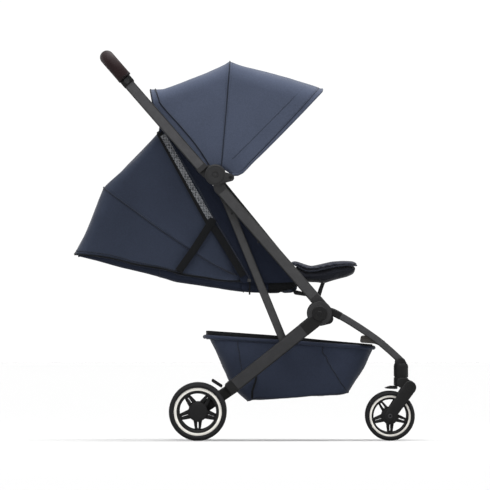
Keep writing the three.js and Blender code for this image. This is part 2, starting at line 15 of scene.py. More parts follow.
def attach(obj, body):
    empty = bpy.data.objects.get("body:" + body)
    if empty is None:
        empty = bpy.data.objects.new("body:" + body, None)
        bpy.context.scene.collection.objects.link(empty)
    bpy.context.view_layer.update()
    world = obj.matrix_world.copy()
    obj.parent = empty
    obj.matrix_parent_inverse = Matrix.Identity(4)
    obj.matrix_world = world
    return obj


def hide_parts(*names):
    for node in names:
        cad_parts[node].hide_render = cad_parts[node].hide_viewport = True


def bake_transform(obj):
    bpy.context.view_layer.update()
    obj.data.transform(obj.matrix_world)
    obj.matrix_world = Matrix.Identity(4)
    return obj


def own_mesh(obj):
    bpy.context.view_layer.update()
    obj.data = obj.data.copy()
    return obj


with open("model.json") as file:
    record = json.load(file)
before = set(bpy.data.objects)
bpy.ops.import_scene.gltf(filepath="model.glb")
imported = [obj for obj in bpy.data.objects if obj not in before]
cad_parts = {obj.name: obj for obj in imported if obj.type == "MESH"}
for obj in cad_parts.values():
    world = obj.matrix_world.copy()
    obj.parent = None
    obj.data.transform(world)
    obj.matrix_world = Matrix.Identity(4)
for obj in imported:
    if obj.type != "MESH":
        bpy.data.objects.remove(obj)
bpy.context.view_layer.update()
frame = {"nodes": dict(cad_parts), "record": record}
MM = 0.001
SIDES = (("L", 1), ("R", -1))

# ---- Places of the frame, (x, z) in mm, the same numbers as the CAD part's driving dimensions ----
LOWER = (202.4, 345.2)
UPPER = (-80.5, 721.6)
ALONG = (math.cos(math.radians(131)), math.sin(math.radians(131)))
AHEAD = (ALONG[1], -ALONG[0])
TUBE_OUT, TUBE_Y = 188, 179  # outer face and middle of a main tube, in y
LEG_OUT, REAR_Y, FRONT_Y = 207, 198.4, 159  # outer face of a rear leg, middles of the rear and front legs
SWIVEL_X = 424.3
REAR_AXLE = (-128.1, 78.5)
FRONT_AXLE = (393.9, 67.0)
STRUT_HEAD, STRUT_FOOT = (-52.5, 653.2), (108.2, 261.1)
REAR_LEG_TOP, REAR_LEG_END = (159, 299.8), (-26.5, 151.6)
SEAT_CROSSBAR = (157.8, 427.9)
HOOD_SIDE, SEAT_SIDE, TRAY_SIDE, BASKET_SIDE = 136.5, 140.5, 134, 128  # half widths of the cloths
CANOPY_LOW, CANOPY_HIGH, CANOPY_CORNER = 149.2, 163.5, 46  # half widths at foot and top, corner radius
HOOD_CORNER = 34


def on_tube(t, n):
    """Point t mm up the main tube from the lower hinge and n mm to its front."""
    return (LOWER[0] + t * ALONG[0] + n * AHEAD[0], LOWER[1] + t * ALONG[1] + n * AHEAD[1])


# ---- Materials ----
class Nodes:
    """Builds one procedural material, with short names for the nodes it uses."""

    def __init__(self, name, colour, roughness, metallic=0.0, specular=0.5):
        self.material = bpy.data.materials.new(name)
        self.material.use_nodes = True
        self.tree = self.material.node_tree
        self.shader = self.tree.nodes["Principled BSDF"]
        self.set("Base Color", (*colour, 1))
        self.set("Roughness", roughness)
        self.set("Metallic", metallic)
        self.set("Specular IOR Level", specular)
        self.place = self.node("ShaderNodeTexCoord").outputs["Object"]

    def set(self, socket, value):
        self.shader.inputs[socket].default_value = value

    def node(self, kind, **settings):
        made = self.tree.nodes.new(kind)
        for key, value in settings.items():
            if key in made.inputs:
                made.inputs[key].default_value = value
            else:
                setattr(made, key, value)
        return made

    def join(self, out, into):
        self.tree.links.new(out, into)

    def math(self, operation, a, b=None):
        made = self.node("ShaderNodeMath", operation=operation)
        for i, value in enumerate((a, b)):
            if isinstance(value, (int, float)):
                made.inputs[i].default_value = value
            elif value is not None:
                self.join(value, made.inputs[i])
        return made.outputs[0]

    def noise(self, scale, detail, roughness):
        made = self.node("ShaderNodeTexNoise", Scale=scale, Detail=detail, Roughness=roughness)
        self.join(self.place, made.inputs["Vector"])
        return made.outputs["Fac"]

    def cells(self, scale, **settings):
        made = self.node("ShaderNodeTexVoronoi", Scale=scale, **settings)
        self.join(self.place, made.inputs["Vector"])
        return made.outputs["Distance"]

    def normal(self):
        made = self.node("ShaderNodeSeparateXYZ")
        self.join(self.node("ShaderNodeNewGeometry").outputs["Normal"], made.inputs[0])
        return made.outputs

    def ramp(self, value, stops):
        made = self.node("ShaderNodeValToRGB")
        made.color_ramp.elements[0].position = stops[0][0]
        made.color_ramp.elements[0].color = (*stops[0][1], 1)
        made.color_ramp.elements[1].position = stops[-1][0]
        made.color_ramp.elements[1].color = (*stops[-1][1], 1)
        for at, colour in stops[1:-1]:
            made.color_ramp.elements.new(at).color = (*colour, 1)
        self.join(value, made.inputs["Fac"])
        return made.outputs["Color"]

    def colour(self, output):
        self.join(output, self.shader.inputs["Base Color"])

    def rough(self, value, low, high):
        made = self.node("ShaderNodeMapRange")
        made.inputs["To Min"].default_value = low
        made.inputs["To Max"].default_value = high
        self.join(value, made.inputs["Value"])
        self.join(made.outputs["Result"], self.shader.inputs["Roughness"])

    def bump(self, height, strength, distance):
        made = self.node("ShaderNodeBump", Strength=strength, Distance=distance)
        self.join(height, made.inputs["Height"])
        self.join(made.outputs["Normal"], self.shader.inputs["Normal"])


def srgb(r, g, b):
    """Linear colour of 0 to 255 display values."""
    return tuple(((v / 255 + 0.055) / 1.055) ** 2.4 if v > 10 else v / 255 / 12.92 for v in (r, g, b))


def shade(colour, factor):
    return tuple(min(1.0, c * factor) for c in colour)


def weave_height(m, threads):
    """Crossing threads that follow whichever two axes lie in the surface."""
    coords = m.node("ShaderNodeSeparateXYZ")
    m.join(m.place, coords.inputs[0])
    normal = m.normal()
    total = None
    for axis in range(3):
        wave = m.math("SINE", m.math("MULTIPLY", coords.outputs[axis], threads * 2 * math.pi))
        facing = m.math("POWER", m.math("ABSOLUTE", normal[axis]), 0.7)
        part = m.math("MULTIPLY", wave, m.math("SUBTRACT", 1.0, facing))
        total = part if total is None else m.math("ADD", total, part)
    return total


def fabric(name, colour, threads=900, melange=0.16, sheen=0.12, bump=0.35):
    m = Nodes(name, colour, 0.86, specular=0.12)
    m.set("Sheen Weight", sheen)
    m.set("Sheen Roughness", 0.45)
    threads_in = weave_height(m, threads)
    slub = m.noise(260, 2, 0.6)
    broad = m.noise(7, 3, 0.5)
    tone = m.math("ADD", m.math("MULTIPLY", slub, 0.55), m.math("MULTIPLY", broad, 0.45))
    tone = m.math("ADD", tone, m.math("MULTIPLY", threads_in, 0.05))
    m.colour(
        m.ramp(tone, [(0.3, shade(colour, 1 - melange)), (0.5, colour), (0.7, shade(colour, 1 + melange))])
    )
    m.rough(slub, 0.78, 0.95)
    height = m.math("ADD", m.math("MULTIPLY", threads_in, 0.5), m.math("MULTIPLY", slub, 0.9))
    m.bump(height, bump, 0.0005)
    return m.material


def painted(name, colour, roughness, metallic):
    """Satin anodised or painted tube: faint long scratches, mottled gloss, a little dust, and painted shade:
    faces that do not point along y, such as rounded edges, tops and undersides, are coloured darker.
    """
    m = Nodes(name, colour, roughness, metallic, specular=0.3)
    grain = m.noise(55, 5, 0.6)
    # Painted shade: the less a face points along y, the darker its colour; tone mixes this painted shade with
    # the random grain.
    facing = m.math("POWER", m.math("ABSOLUTE", m.normal()["Y"]), 7.0)
    tone = m.math("MULTIPLY", m.math("ADD", m.math("MULTIPLY", facing, 0.6), 0.2), m.math("ADD", grain, 0.5))
    steps = ((0.2, 0.18), (0.68, 0.92), (0.8, 1), (0.95, 1.12))
    m.colour(m.ramp(tone, [(at, shade(colour, factor)) for at, factor in steps]))
    m.rough(grain, roughness - 0.06, roughness + 0.08)
    m.bump(m.noise(900, 2, 0.5), 0.12, 0.0002)
    return m.material


def plastic(name, colour, roughness, bump=0.3):
    """Moulded plastic with a fine eroded grain."""
    m = Nodes(name, colour, roughness, specular=0.2)
    broad = m.noise(30, 4, 0.55)
    m.colour(m.ramp(broad, [(0.35, shade(colour, 0.88)), (0.5, colour), (0.68, shade(colour, 1.14))]))
    m.rough(broad, roughness - 0.07, roughness + 0.09)
    m.bump(m.cells(1100), bump, 0.0002)
    return m.material


def leather(name, colour):
    """Smooth wrapped leather with a faint grain and polished patches."""
    m = Nodes(name, colour, 0.5, specular=0.07)
    edges = m.cells(620, feature="DISTANCE_TO_EDGE")
    creases = m.math("POWER", m.math("MINIMUM", m.math("MULTIPLY", edges, 7), 1.0), 0.6)
    patches = m.noise(22, 4, 0.6)
    m.colour(m.ramp(patches, [(0.3, shade(colour, 0.85)), (0.52, colour), (0.75, shade(colour, 1.18))]))
    m.rough(patches, 0.44, 0.6)
    m.bump(creases, 0.03, 0.0002)
    return m.material


def rubber(name, colour):
    m = Nodes(name, colour, 0.8, specular=0.2)
    broad = m.noise(40, 4, 0.6)
    m.colour(m.ramp(broad, [(0.35, shade(colour, 0.85)), (0.5, colour), (0.7, shade(colour, 1.25))]))
    m.rough(broad, 0.68, 0.88)
    m.bump(m.noise(1400, 2, 0.6), 0.35, 0.0003)
    return m.material


def mesh_cloth(name, dark, light):
    """Open knitted mesh: pale threads round dark holes."""
    m = Nodes(name, dark, 0.85, specular=0.1)
    holes = m.cells(230, Randomness=0.12)
    patchy = m.math("ADD", holes, m.math("MULTIPLY", m.noise(260, 2, 0.7), 0.6))
    m.colour(m.ramp(patchy, [(0.74, dark), (0.8, shade(light, 0.5)), (0.93, light)]))
    m.bump(holes, 0.6, 0.0006)
    return m.material


CANOPY = fabric("canopy_cloth", srgb(67, 74, 91))
HOOD = fabric("hood_cloth", srgb(41, 47, 61))
PANEL = fabric("side_panel_cloth", srgb(20, 25, 38), sheen=0.05, bump=0.25)
BASKET = fabric("basket_cloth", srgb(42, 48, 63))
PIPING = fabric("piping_cloth", srgb(30, 34, 44), threads=1400, bump=0.2)
LINING = fabric("lining_cloth", srgb(26, 28, 33), threads=700)
SEAT_CLOTH = fabric("seat_cloth", srgb(44, 49, 60), threads=800)
REST_CLOTH = fabric("leg_rest_cloth", srgb(28, 30, 37), threads=800)
REST_TOP_CLOTH = fabric("leg_rest_top_cloth", srgb(34, 37, 48), threads=800)
TRAY = fabric("tray_cloth", srgb(24, 29, 42), sheen=0.08)
WEBBING = fabric("webbing_cloth", srgb(17, 18, 20), threads=420, bump=0.7, sheen=0.03)
MESH = mesh_cloth("mesh_cloth", srgb(14, 15, 18), srgb(120, 122, 126))
STITCH = fabric("stitch_thread", srgb(50, 56, 68), threads=2500, bump=0.2)
# tube_paint, handle_paint, leg_paint and front_leg_paint carry the painted shade of painted(): faces not
# pointing along y are darker.
TUBE_PAINT = painted("tube_paint", srgb(57, 57, 58), 0.46, 0.25)
HANDLE_PAINT = painted("handle_paint", srgb(66, 66, 68), 0.42, 0.3)
LEG_PAINT = painted("leg_paint", srgb(42, 42, 44), 0.48, 0.2)
FRONT_PAINT = painted("front_leg_paint", srgb(56, 56, 58), 0.46, 0.25)
HINGE = plastic("hinge_plastic", srgb(38, 38, 39), 0.5)
STEP = plastic("step_plastic", srgb(62, 59, 57), 0.55)
BLACK = plastic("black_plastic", srgb(14, 14, 15), 0.5)
WHEEL = plastic("wheel_plastic", srgb(17, 17, 18), 0.5)
RING = plastic("ring_white", srgb(232, 229, 222), 0.5, bump=0.1)
TYRE = rubber("tyre_rubber", srgb(24, 24, 26))
LEATHER = leather("grip_leather", srgb(34, 24, 25))
# bolt_steel also carries the painted shade of painted(): faces not pointing along y are darker.
STEEL = painted("bolt_steel", srgb(60, 60, 62), 0.38, 0.6)


# ---- Looks that several pieces share: material, body and slot ----
FRAME_HINGE = (HINGE, "frame", "dark_plastic")
FRAME_BLACK = (BLACK, "frame", "dark_plastic")
HANDLE_HINGE = (HINGE, "handle", "dark_plastic")
HANDLE_BLACK = (BLACK, "handle", "black_plastic")
GRIP = (LEATHER, "handle", "grip_leather")
REAR_BLACK = (BLACK, "rear_legs", "black_plastic")
FRONT_DARK = (BLACK, "front_legs", "dark_plastic")
FRONT_BLACK = (BLACK, "front_legs", "black_plastic")
BUCKLE = (BLACK, "frame", "black_plastic")
CANOPY_CLOTH = (CANOPY, None, "canopy_fabric")
CANOPY_PIPING = (PIPING, None, "canopy_fabric")
CANOPY_STITCH = (STITCH, None, "canopy_fabric")
HOOD_PIPING = (PIPING, "frame", "hood_fabric")
HOOD_WEBBING = (WEBBING, "frame", "hood_fabric")
TRAY_PIPING = (PIPING, "backrest", "hood_fabric")
SEAT_WEBBING = (WEBBING, "frame", "seat_lining")
BASKET_CLOTH = (BASKET, "rear_legs", "basket_fabric")
BASKET_PIPING = (PIPING, "rear_legs", "basket_fabric")
BASKET_WEBBING = (WEBBING, "rear_legs", "basket_fabric")


# ---- Mesh helpers ----
def linked(name, data):
    obj = bpy.data.objects.new(name, data)
    bpy.context.scene.collection.objects.link(obj)
    return obj


def settle(obj, look):
    """Gives a piece its look. One named after a CAD node, with _skin added, stands for that node."""
    material, body, slot = look
    if material and material.name not in obj.data.materials:
        obj.data.materials.append(material)
    if body:
        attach(obj, body)
    node = obj.name.replace("_skin", "")
    if node != obj.name and node in frame["nodes"]:
        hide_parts(node)
    return obj


def new_object(name, points, faces):
    mesh = bpy.data.meshes.new(name)
    mesh.from_pydata([tuple(float(c) * MM for c in p) for p in points], [], faces)
    mesh.validate()
    mesh.update()
    mesh.shade_smooth()
    return linked(name, mesh)


def applied(obj, kind=None, **settings):
    """The object with its modifiers, and one more of the given kind, made real."""
    if kind:
        modifier = obj.modifiers.new(kind, kind)
        for key, value in settings.items():
            setattr(modifier, key, value)
    graph = bpy.context.evaluated_depsgraph_get()
    old, made = obj.data, bpy.data.meshes.new_from_object(obj.evaluated_get(graph))
    obj.modifiers.clear()
    obj.data = made
    made.name = obj.name
    bpy.data.meshes.remove(old)
    return obj


def eased(obj, width, angle, clamp):
    """Rounds the edges sharper than an angle in degrees."""
    return applied(
        obj, "BEVEL", width=width * MM, segments=3, limit_method="ANGLE",
        angle_limit=math.radians(angle), harden_normals=True, use_clamp_overlap=clamp,
    )


def fix_normals(obj, sharp=None):
    """Faces out, and edges sharper than an angle in degrees marked sharp."""
    work = bmesh.new()
    work.from_mesh(obj.data)
    bmesh.ops.recalc_face_normals(work, faces=work.faces)
    if sharp is not None:
        for edge in work.edges:
            edge.smooth = len(edge.link_faces) != 2 or edge.calc_face_angle(0) < math.radians(sharp)
    work.to_mesh(obj.data)
    work.free()
    return obj


def resample(points, count):
    """Evenly spaced points along a polyline of any dimension."""
    points = np.array(points, float)
    steps = np.r_[0, np.cumsum(np.linalg.norm(np.diff(points, axis=0), axis=1))]
    at = np.linspace(0, steps[-1], count)
    return np.stack([np.interp(at, steps, points[:, k]) for k in range(points.shape[1])], 1)


def smooth_line(points, count, passes=2):
    """Polyline with its corners softened, its ends kept."""
    line = resample(points, count)
    for _ in range(passes):
        line[1:-1] = (line[:-2] + 2 * line[1:-1] + line[2:]) / 4
    return line


def grid_normals(grid):
    du = np.gradient(grid, axis=0)
    dv = np.gradient(grid, axis=1)
    return unit(np.cross(du, dv))


def grid_faces(rows, columns, wrap=False):
    last = columns if wrap else columns - 1
    return [
        (
            i * columns + j, (i + 1) * columns + j, (i + 1) * columns + (j + 1) % columns,
            i * columns + (j + 1) % columns,
        )
        for i in range(rows - 1)
        for j in range(last)
    ]


def wrinkle(grid, amount, size, seed, stretch=(1, 1, 1)):
    """Moves a grid along its normals by smooth noise: amount in mm, size the wavelength in mm."""
    normal, out = grid_normals(grid), grid.copy()
    shift = Vector((seed * 7.3, seed * 3.1, seed * 5.7))
    for at in np.ndindex(grid.shape[:2]):
        place = Vector(grid[at] * stretch) / size
        out[at] += normal[at] * noise.noise(place + shift) * amount
    return out


def cloth_layer(name, grid, thickness, look, inside=None):
    """Sheet of fabric with real thickness from a grid of points, outside first."""
    obj = new_object(name, grid.reshape(-1, 3), grid_faces(*grid.shape[:2]))
    for material in (look[0], inside or LINING):
        obj.data.materials.append(material)
    applied(obj, "SOLIDIFY", thickness=thickness * MM, offset=-1, use_even_offset=False, material_offset=1)
    obj.data.shade_smooth()
    return settle(obj, look)


def skinned(name, points, count, sharp=38, closed=False):
    """Skin over rings of count points each, from the first ring to the last, its ends capped or joined."""
    faces, last = grid_faces(len(points) // count, count, wrap=True), len(points) - count
    if closed:
        faces += [(last + j, j, (j + 1) % count, last + (j + 1) % count) for j in range(count)]
    else:
        faces += [tuple(range(count)), tuple(len(points) - 1 - k for k in range(count))]
    return fix_normals(new_object(name, points, faces), sharp)


def unit(vectors):
    return vectors / np.maximum(np.linalg.norm(vectors, axis=-1, keepdims=True), 1e-9)


def rope(name, path, radius, look, sides=8, closed=False, flat=1.0):
    """Round or flattened cord of the given radius along a path."""
    path = np.array(path, float)
    tangent = unit(np.roll(path, -1, 0) - np.roll(path, 1, 0) if closed else np.gradient(path, axis=0))
    up = np.array([0.0, 1.0, 0.0])
    if abs(tangent[0] @ up) > 0.9:
        up = np.array([0.0, 0.0, 1.0])
    points = []
    side = np.cross(tangent[0], up)
    for p, t in zip(path, tangent):
        side = side - t * (side @ t)
        side /= np.linalg.norm(side)
        other = np.cross(t, side)
        for k in range(sides):
            angle = 2 * math.pi * k / sides
            points.append(p + radius * (math.cos(angle) * side + flat * math.sin(angle) * other))
    return settle(skinned(name, points, sides, 60, closed), look)


def strap(name, path, across, width, thick, look):
    """Flat webbing along a path; across is its width direction at each point or one for all."""
    path = np.array(path, float)
    across = np.broadcast_to(np.array(across, float), path.shape)
    tangent = unit(np.gradient(path, axis=0))
    wide = unit(across - tangent * np.sum(across * tangent, axis=1, keepdims=True))
    normal = np.cross(wide, tangent)
    section = [(-1, -0.6), (-0.94, -1), (0.94, -1), (1, -0.6), (1, 0.6), (0.94, 1), (-0.94, 1), (-1, 0.6)]
    points = []
    for p, w, n in zip(path, wide, normal):
        points += [p + w * a * width / 2 + n * b * thick / 2 for a, b in section]
    return settle(skinned(name, points, len(section), 40), look)


def lathe(name, profile, centre, y, sign, look, count=64, sharp=32):
    """Turned piece about a Y axis; profile is (radius, outward y) from the middle out."""
    points = [(x, y + sign * out, z) for r, out in profile for x, z in circle(centre, r, count)]
    faces, last = grid_faces(len(profile), count, wrap=True), len(points) - count
    if profile[0][0] > 0.01:
        faces += [(last + j, j, (j + 1) % count, last + (j + 1) % count) for j in range(count)]
    obj = new_object(name, points, faces)
    work = bmesh.new()
    work.from_mesh(obj.data)
    bmesh.ops.remove_doubles(work, verts=work.verts, dist=1e-6)
    loose = [e for e in work.edges if e.is_boundary]
    if loose:
        bmesh.ops.holes_fill(work, edges=loose)
    work.to_mesh(obj.data)
    work.free()
    return settle(fix_normals(obj, sharp), look)


def body_of_node(node):
    return next(name for name, nodes in frame["record"]["behaviour"]["bodies"].items() if node in nodes)


def copied(name, node, flatten=False):
    """Copy of a CAD node, its doubled points merged and its flat faces joined if asked."""
    mesh = frame["nodes"][node].data.copy()
    work = bmesh.new()
    work.from_mesh(mesh)
    bmesh.ops.remove_doubles(work, verts=work.verts, dist=2e-6)
    if flatten:
        bmesh.ops.dissolve_limit(work, angle_limit=math.radians(1.5), verts=work.verts, edges=work.edges)
    work.to_mesh(mesh)
    work.free()
    mesh.materials.clear()
    return linked(name, mesh)


def bevelled(node, width, material, slot):
    """Visual copy of a rigid CAD node with rounded edges."""
    obj = copied(node + "_skin", node, flatten=True)
    obj.data.materials.append(material)
    obj.data.shade_smooth()
    return settle(eased(obj, width, 34, True), (material, body_of_node(node), slot))


def fold_flat(*objs, anchor_n=5, keep=0.04):
    """Gives each soft piece a mesh of its own."""
    for obj in objs:
        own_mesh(obj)


def simulate_pad(obj, voxel=5.0, pressure=4.0, cap=6.0, frames=20):
    """Puffs a pad by cloth simulation with inner pressure, no point moving more than cap mm."""
    applied(obj, "REMESH", mode="VOXEL", voxel_size=voxel * MM)
    rest = np.array([v.co for v in obj.data.vertices])
    cloth = obj.modifiers.new("cloth", "CLOTH")
    cloth.settings.use_pressure = True
    cloth.settings.uniform_pressure_force = pressure
    cloth.settings.effector_weights.gravity = 0
    cloth.settings.quality = 5
    cloth.settings.tension_stiffness = 25
    cloth.settings.compression_stiffness = 25
    cloth.point_cache.frame_start = 1
    cloth.point_cache.frame_end = frames
    for step in range(1, frames + 1):
        bpy.context.scene.frame_set(step)
    applied(obj)
    shift = np.array([v.co for v in obj.data.vertices]) - rest
    length = np.linalg.norm(shift, axis=1, keepdims=True)
    limit = cap * MM
    shift *= np.where(length > limit, limit / np.maximum(length, 1e-9), 1)
    place_points(obj, rest + shift)
    bpy.context.scene.frame_set(1)
    applied(obj, "SMOOTH", factor=0.5, iterations=3)
    applied(obj, "SUBSURF", levels=1, render_levels=1)
    obj.data.shade_smooth()
    return obj


def place_points(obj, points):
    obj.data.vertices.foreach_set("co", points.astype(np.float32).ravel())
    obj.data.update()


def dent(obj, lines, depth, width):
    """Presses sewn channels into a pad along its normals. Each line gives a point's distance to a seam."""
    obj.data.update()
    points = np.array([v.co for v in obj.data.vertices])
    normals = np.array([v.normal for v in obj.data.vertices])
    for line in lines:
        gap = np.array([abs(line(p)) for p in points / MM])
        points -= normals * (depth * np.exp(-((gap / width) ** 2)) * MM)[:, None]
    place_points(obj, points)


def shrink(obj, scale):
    """Scales a piece about the middle of its box."""
    points = np.array([v.co for v in obj.data.vertices])
    middle = (points.max(0) + points.min(0)) / 2
    place_points(obj, middle + (points - middle) * np.array(scale))
    return obj


# ---- Outlines in (x, z), mm ----
def circle(centre, r, count=72):
    turns = [2 * math.pi * k / count for k in range(count)]
    return [(centre[0] + r * math.cos(a), centre[1] + r * math.sin(a)) for a in turns]


def hull(points):
    """Convex outline round a list of points."""
    ordered = sorted(set((round(x, 4), round(z, 4)) for x, z in points))

    def half(some):
        out = []
        for p in some:
            while len(out) > 1:
                (ax, az), (bx, bz) = out[-2:]
                if (bx - ax) * (p[1] - az) - (bz - az) * (p[0] - ax) > 1e-6:
                    break
                out.pop()
            out.append(p)
        return out[:-1]

    return half(ordered) + half(ordered[::-1])


def link(p, rp, q, rq):
    return hull(circle(p, rp) + circle(q, rq))


def rounded(points, r, steps=6):
    """Outline with quadratic curves of reach r at its corners."""
    out = []
    for i, p in enumerate(points):
        p = np.array(p, float)
        before, after = np.array(points[i - 1], float), np.array(points[(i + 1) % len(points)], float)
        a = p + (before - p) * min(r / np.linalg.norm(before - p), 0.45)
        b = p + (after - p) * min(r / np.linalg.norm(after - p), 0.45)
        for s in np.linspace(0, 1, steps):
            out.append(tuple((a * (1 - s) + p * s) * (1 - s) + (p * (1 - s) + b * s) * s))
    return out


def box_section(high, wide, r, steps=6):
    """Rounded rectangle, (high, wide) coordinates."""
    a, b = high / 2, wide / 2
    return rounded([(-a, -b), (a, -b), (a, b), (-a, b)], r, steps)


def tube_edge(t, grow=0.0):
    return [on_tube(t, 3 - grow), on_tube(t, 33 + grow)]


# ---- Rigid pieces ----
def slab(name, outline, y0, y1, look, edge=0.8, holes=()):
    """Outline in XZ filled between two values of y, with its rims rounded."""
    low, high = min(y0, y1), max(y0, y1)
    work = bmesh.new()
    work.faces.new([work.verts.new((x * MM, low * MM, z * MM)) for x, z in outline])
    done = bmesh.ops.extrude_face_region(work, geom=work.faces[:])["geom"]
    moved = [v for v in done if isinstance(v, bmesh.types.BMVert)]
    bmesh.ops.translate(work, verts=moved, vec=(0, (high - low) * MM, 0))
    bmesh.ops.recalc_face_normals(work, faces=work.faces)
    mesh = bpy.data.meshes.new(name)
    work.to_mesh(mesh)
    work.free()
    obj = linked(name, mesh)
    mesh.materials.append(look[0])
    for hole in holes:
        tool = slab(name + "_tool", hole, low - 2, high + 2, (look[0], None, None), edge=0)
        applied(obj, "BOOLEAN", operation="DIFFERENCE", object=tool)
        bpy.data.objects.remove(tool)
    if edge:
        eased(obj, edge, 50, False)
    obj.data.shade_smooth()
    return settle(obj, look)


def bar(name, p, q, y, high, wide, radius, look, end=0.8):
    """Straight rounded-rectangle bar between two (x, z) points, with eased ends."""
    run = np.array([q[0] - p[0], 0, q[1] - p[1]], float)
    length = np.linalg.norm(run)
    run /= length
    up = np.cross([0, 1, 0], run)
    start = np.array([p[0], y, p[1]], float)
    points = []
    for along, grow in ((0, -end), (end, 0), (length - end, 0), (length, -end)):
        section = box_section(high + 2 * grow, wide + 2 * grow, radius)
        points += [start + run * along + up * a + np.array([0, b, 0]) for a, b in section]
    return settle(skinned(name, points, len(points) // 4), look)


def loft(name, path, section, y, look):
    """Section of (across, y) points carried along a path in the XZ plane."""
    path = np.array(path, float)
    points = []
    for (x, z), (dx, dz) in zip(path, unit(np.gradient(path, axis=0))):
        points += [(x - dz * a, y + b, z + dx * a) for a, b in section]
    return settle(skinned(name, points, len(section)), look)


def upright(name, profile, x, y, look):
    """Turned piece about a vertical axis; profile is (radius, z) from the bottom up."""
    points = [(a, b, z) for r, z in profile for a, b in circle((x, y), r, 48)]
    return settle(skinned(name, points, 48, 32), look)


def bolt(name, centre, y, sign, r, look, rise=1.6):
    """Button-head bolt with a hexagon socket, standing on the face at y."""
    socket = r * 0.46
    profile = [(0, rise - 1.4), (socket * 0.8, rise - 1.4), (socket, rise - 1.2), (socket * 1.1, rise)]
    profile += [(r * 0.7, rise - 0.1), (r * 0.93, rise * 0.55), (r, 0.1), (r, -1.0), (0, -1.0)]
    return lathe(name, profile, centre, y, sign, look, count=36)


def build_main_tubes(side, sign):
    y = sign * TUBE_Y
    bar(
        f"main_tube_skin_{side}", on_tube(44.5, 18), on_tube(422.6, 18), y, 30, 18, 6,
        (TUBE_PAINT, "frame", "grey_metal"),
    )
    collar = bar(
        f"upper_joint_{side}", on_tube(421.6, 18), on_tube(435.2, 18), y, 30.6, 18.4, 4.5, FRAME_HINGE,
        end=0.6,
    )
    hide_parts(f"main_hinge_upper_{side}")
    for part, outline in (
        ("root", tube_edge(430) + tube_edge(440)), ("cheek", tube_edge(439) + circle(UPPER, 12)),
    ):
        slab(f"upper_{part}_{side}", hull(outline), sign * 179.4, sign * 187.8, FRAME_HINGE)
    cap = [(0, 6.4), (4.6, 6.4), (6.0, 6.0), (6.6, 4.6), (7.6, 4.4), (8.4, 5.6), (14, 6.3), (22.5, 6.1)]
    cap += [(25.6, 5.4), (27.6, 3.8), (28.4, 1.4), (28.4, -8.6), (0, -8.6)]
    lathe(f"upper_cap_{side}", cap, UPPER, sign * TUBE_OUT, sign, FRAME_HINGE, count=96)
    groove = [(x, sign * 194.0, z) for x, z in circle(UPPER, 23.2, 96)]
    rope(f"upper_cap_line_{side}", groove, 0.45, FRAME_BLACK, closed=True, sides=6)
    small_bolt = (-38.9, 714.5)
    lobe = hull(circle(UPPER, 15) + circle(small_bolt, 9.5) + circle((UPPER[0], UPPER[1] - 18), 10))
    slab(f"upper_lobe_{side}", lobe, sign * 188.4, sign * 192.6, FRAME_HINGE, edge=1.2)
    bolt(f"upper_small_bolt_{side}", small_bolt, sign * 192.6, sign, 5.2, FRAME_BLACK)
    lower = slab(f"lower_joint_{side}", circle(LOWER, 32.6, 96), sign * 170.2, sign * 187.8, FRAME_HINGE)
    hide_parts(f"main_hinge_lower_{side}")
    bar(f"lower_sleeve_{side}", on_tube(4, 18), on_tube(45.6, 18), y, 30.6, 18.4, 4.5, FRAME_HINGE, end=0.6)
    knob = [
        (0, 4.9), (5, 4.9), (6.4, 4.4), (7.2, 3.6), (16.4, 3.8), (19.2, 3.1), (20.8, 1.2), (20.8, -0.2),
        (0, -0.2),
    ]
    lathe(f"lower_cap_{side}", knob, LOWER, sign * (LEG_OUT + 0.4), sign, FRAME_BLACK, count=96)
    bolt(f"tube_screw_{side}", (35.5, 538.5), sign * TUBE_OUT, sign, 2.6, FRAME_BLACK, rise=0.9)
    lathe(
        f"lower_pin_{side}", [(0, 209), (6, 209), (6, 148), (0, 148)], LOWER, 0, sign,
        (STEEL, "frame", "dark_plastic"), count=32,
    )


def build_handle_side(side, sign):
    y = sign * TUBE_Y
    bar(
        f"handle_tube_skin_{side}", on_tube(512.5, 18), on_tube(809.6, 18), y, 28.5, 18, 6,
        (HANDLE_PAINT, "handle", "grey_metal"),
    )
    joint = bar(
        f"handle_joint_{side}", on_tube(500.8, 18), on_tube(514.4, 18), y, 30.4, 18.2, 4.5, HANDLE_HINGE,
        end=0.6,
    )
    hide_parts(f"handle_hinge_{side}")
    slab(
        f"handle_cheek_{side}", hull(tube_edge(505) + circle(UPPER, 26)), sign * 170.2, sign * 178.4,
        HANDLE_HINGE,
    )
    slab(
        f"handle_crank_{side}", link(UPPER, 16, STRUT_HEAD, 11), sign * 160.7, sign * 169.4, HANDLE_HINGE,
        edge=1.2,
    )
    bolt(f"crank_bolt_{side}", STRUT_HEAD, sign * 169.4, sign, 6, (STEEL, "handle", "dark_plastic"))
    corners = [on_tube(808.2, 2.6), on_tube(808.2, 35.4), on_tube(829.8, 35.4), on_tube(829.8, 2.6)]
    slab(
        f"handle_collar_skin_{side}", rounded(corners, 3), sign * 167.2, sign * 190.8, HANDLE_BLACK, edge=3.2,
    )
    place = on_tube(819, 19)
    lathe(
        f"button_well_{side}", [(8.3, 0.2), (9.4, 0.9), (10.4, 0.2), (10.4, -1.5), (8.3, -1.5)], place,
        sign * 190.8, sign, HANDLE_BLACK, count=48,
    )
    dish = [(0, 0.9), (4.5, 1.0), (6.4, 1.5), (7.4, 1.3), (8.0, 0.4), (8.0, -5.4), (0, -5.4)]
    lathe(
        f"release_button_skin_{side}", dish, place, sign * 190.9, sign,
        (HINGE, f"release_button_{side}", "button_metal"), count=48,
    )


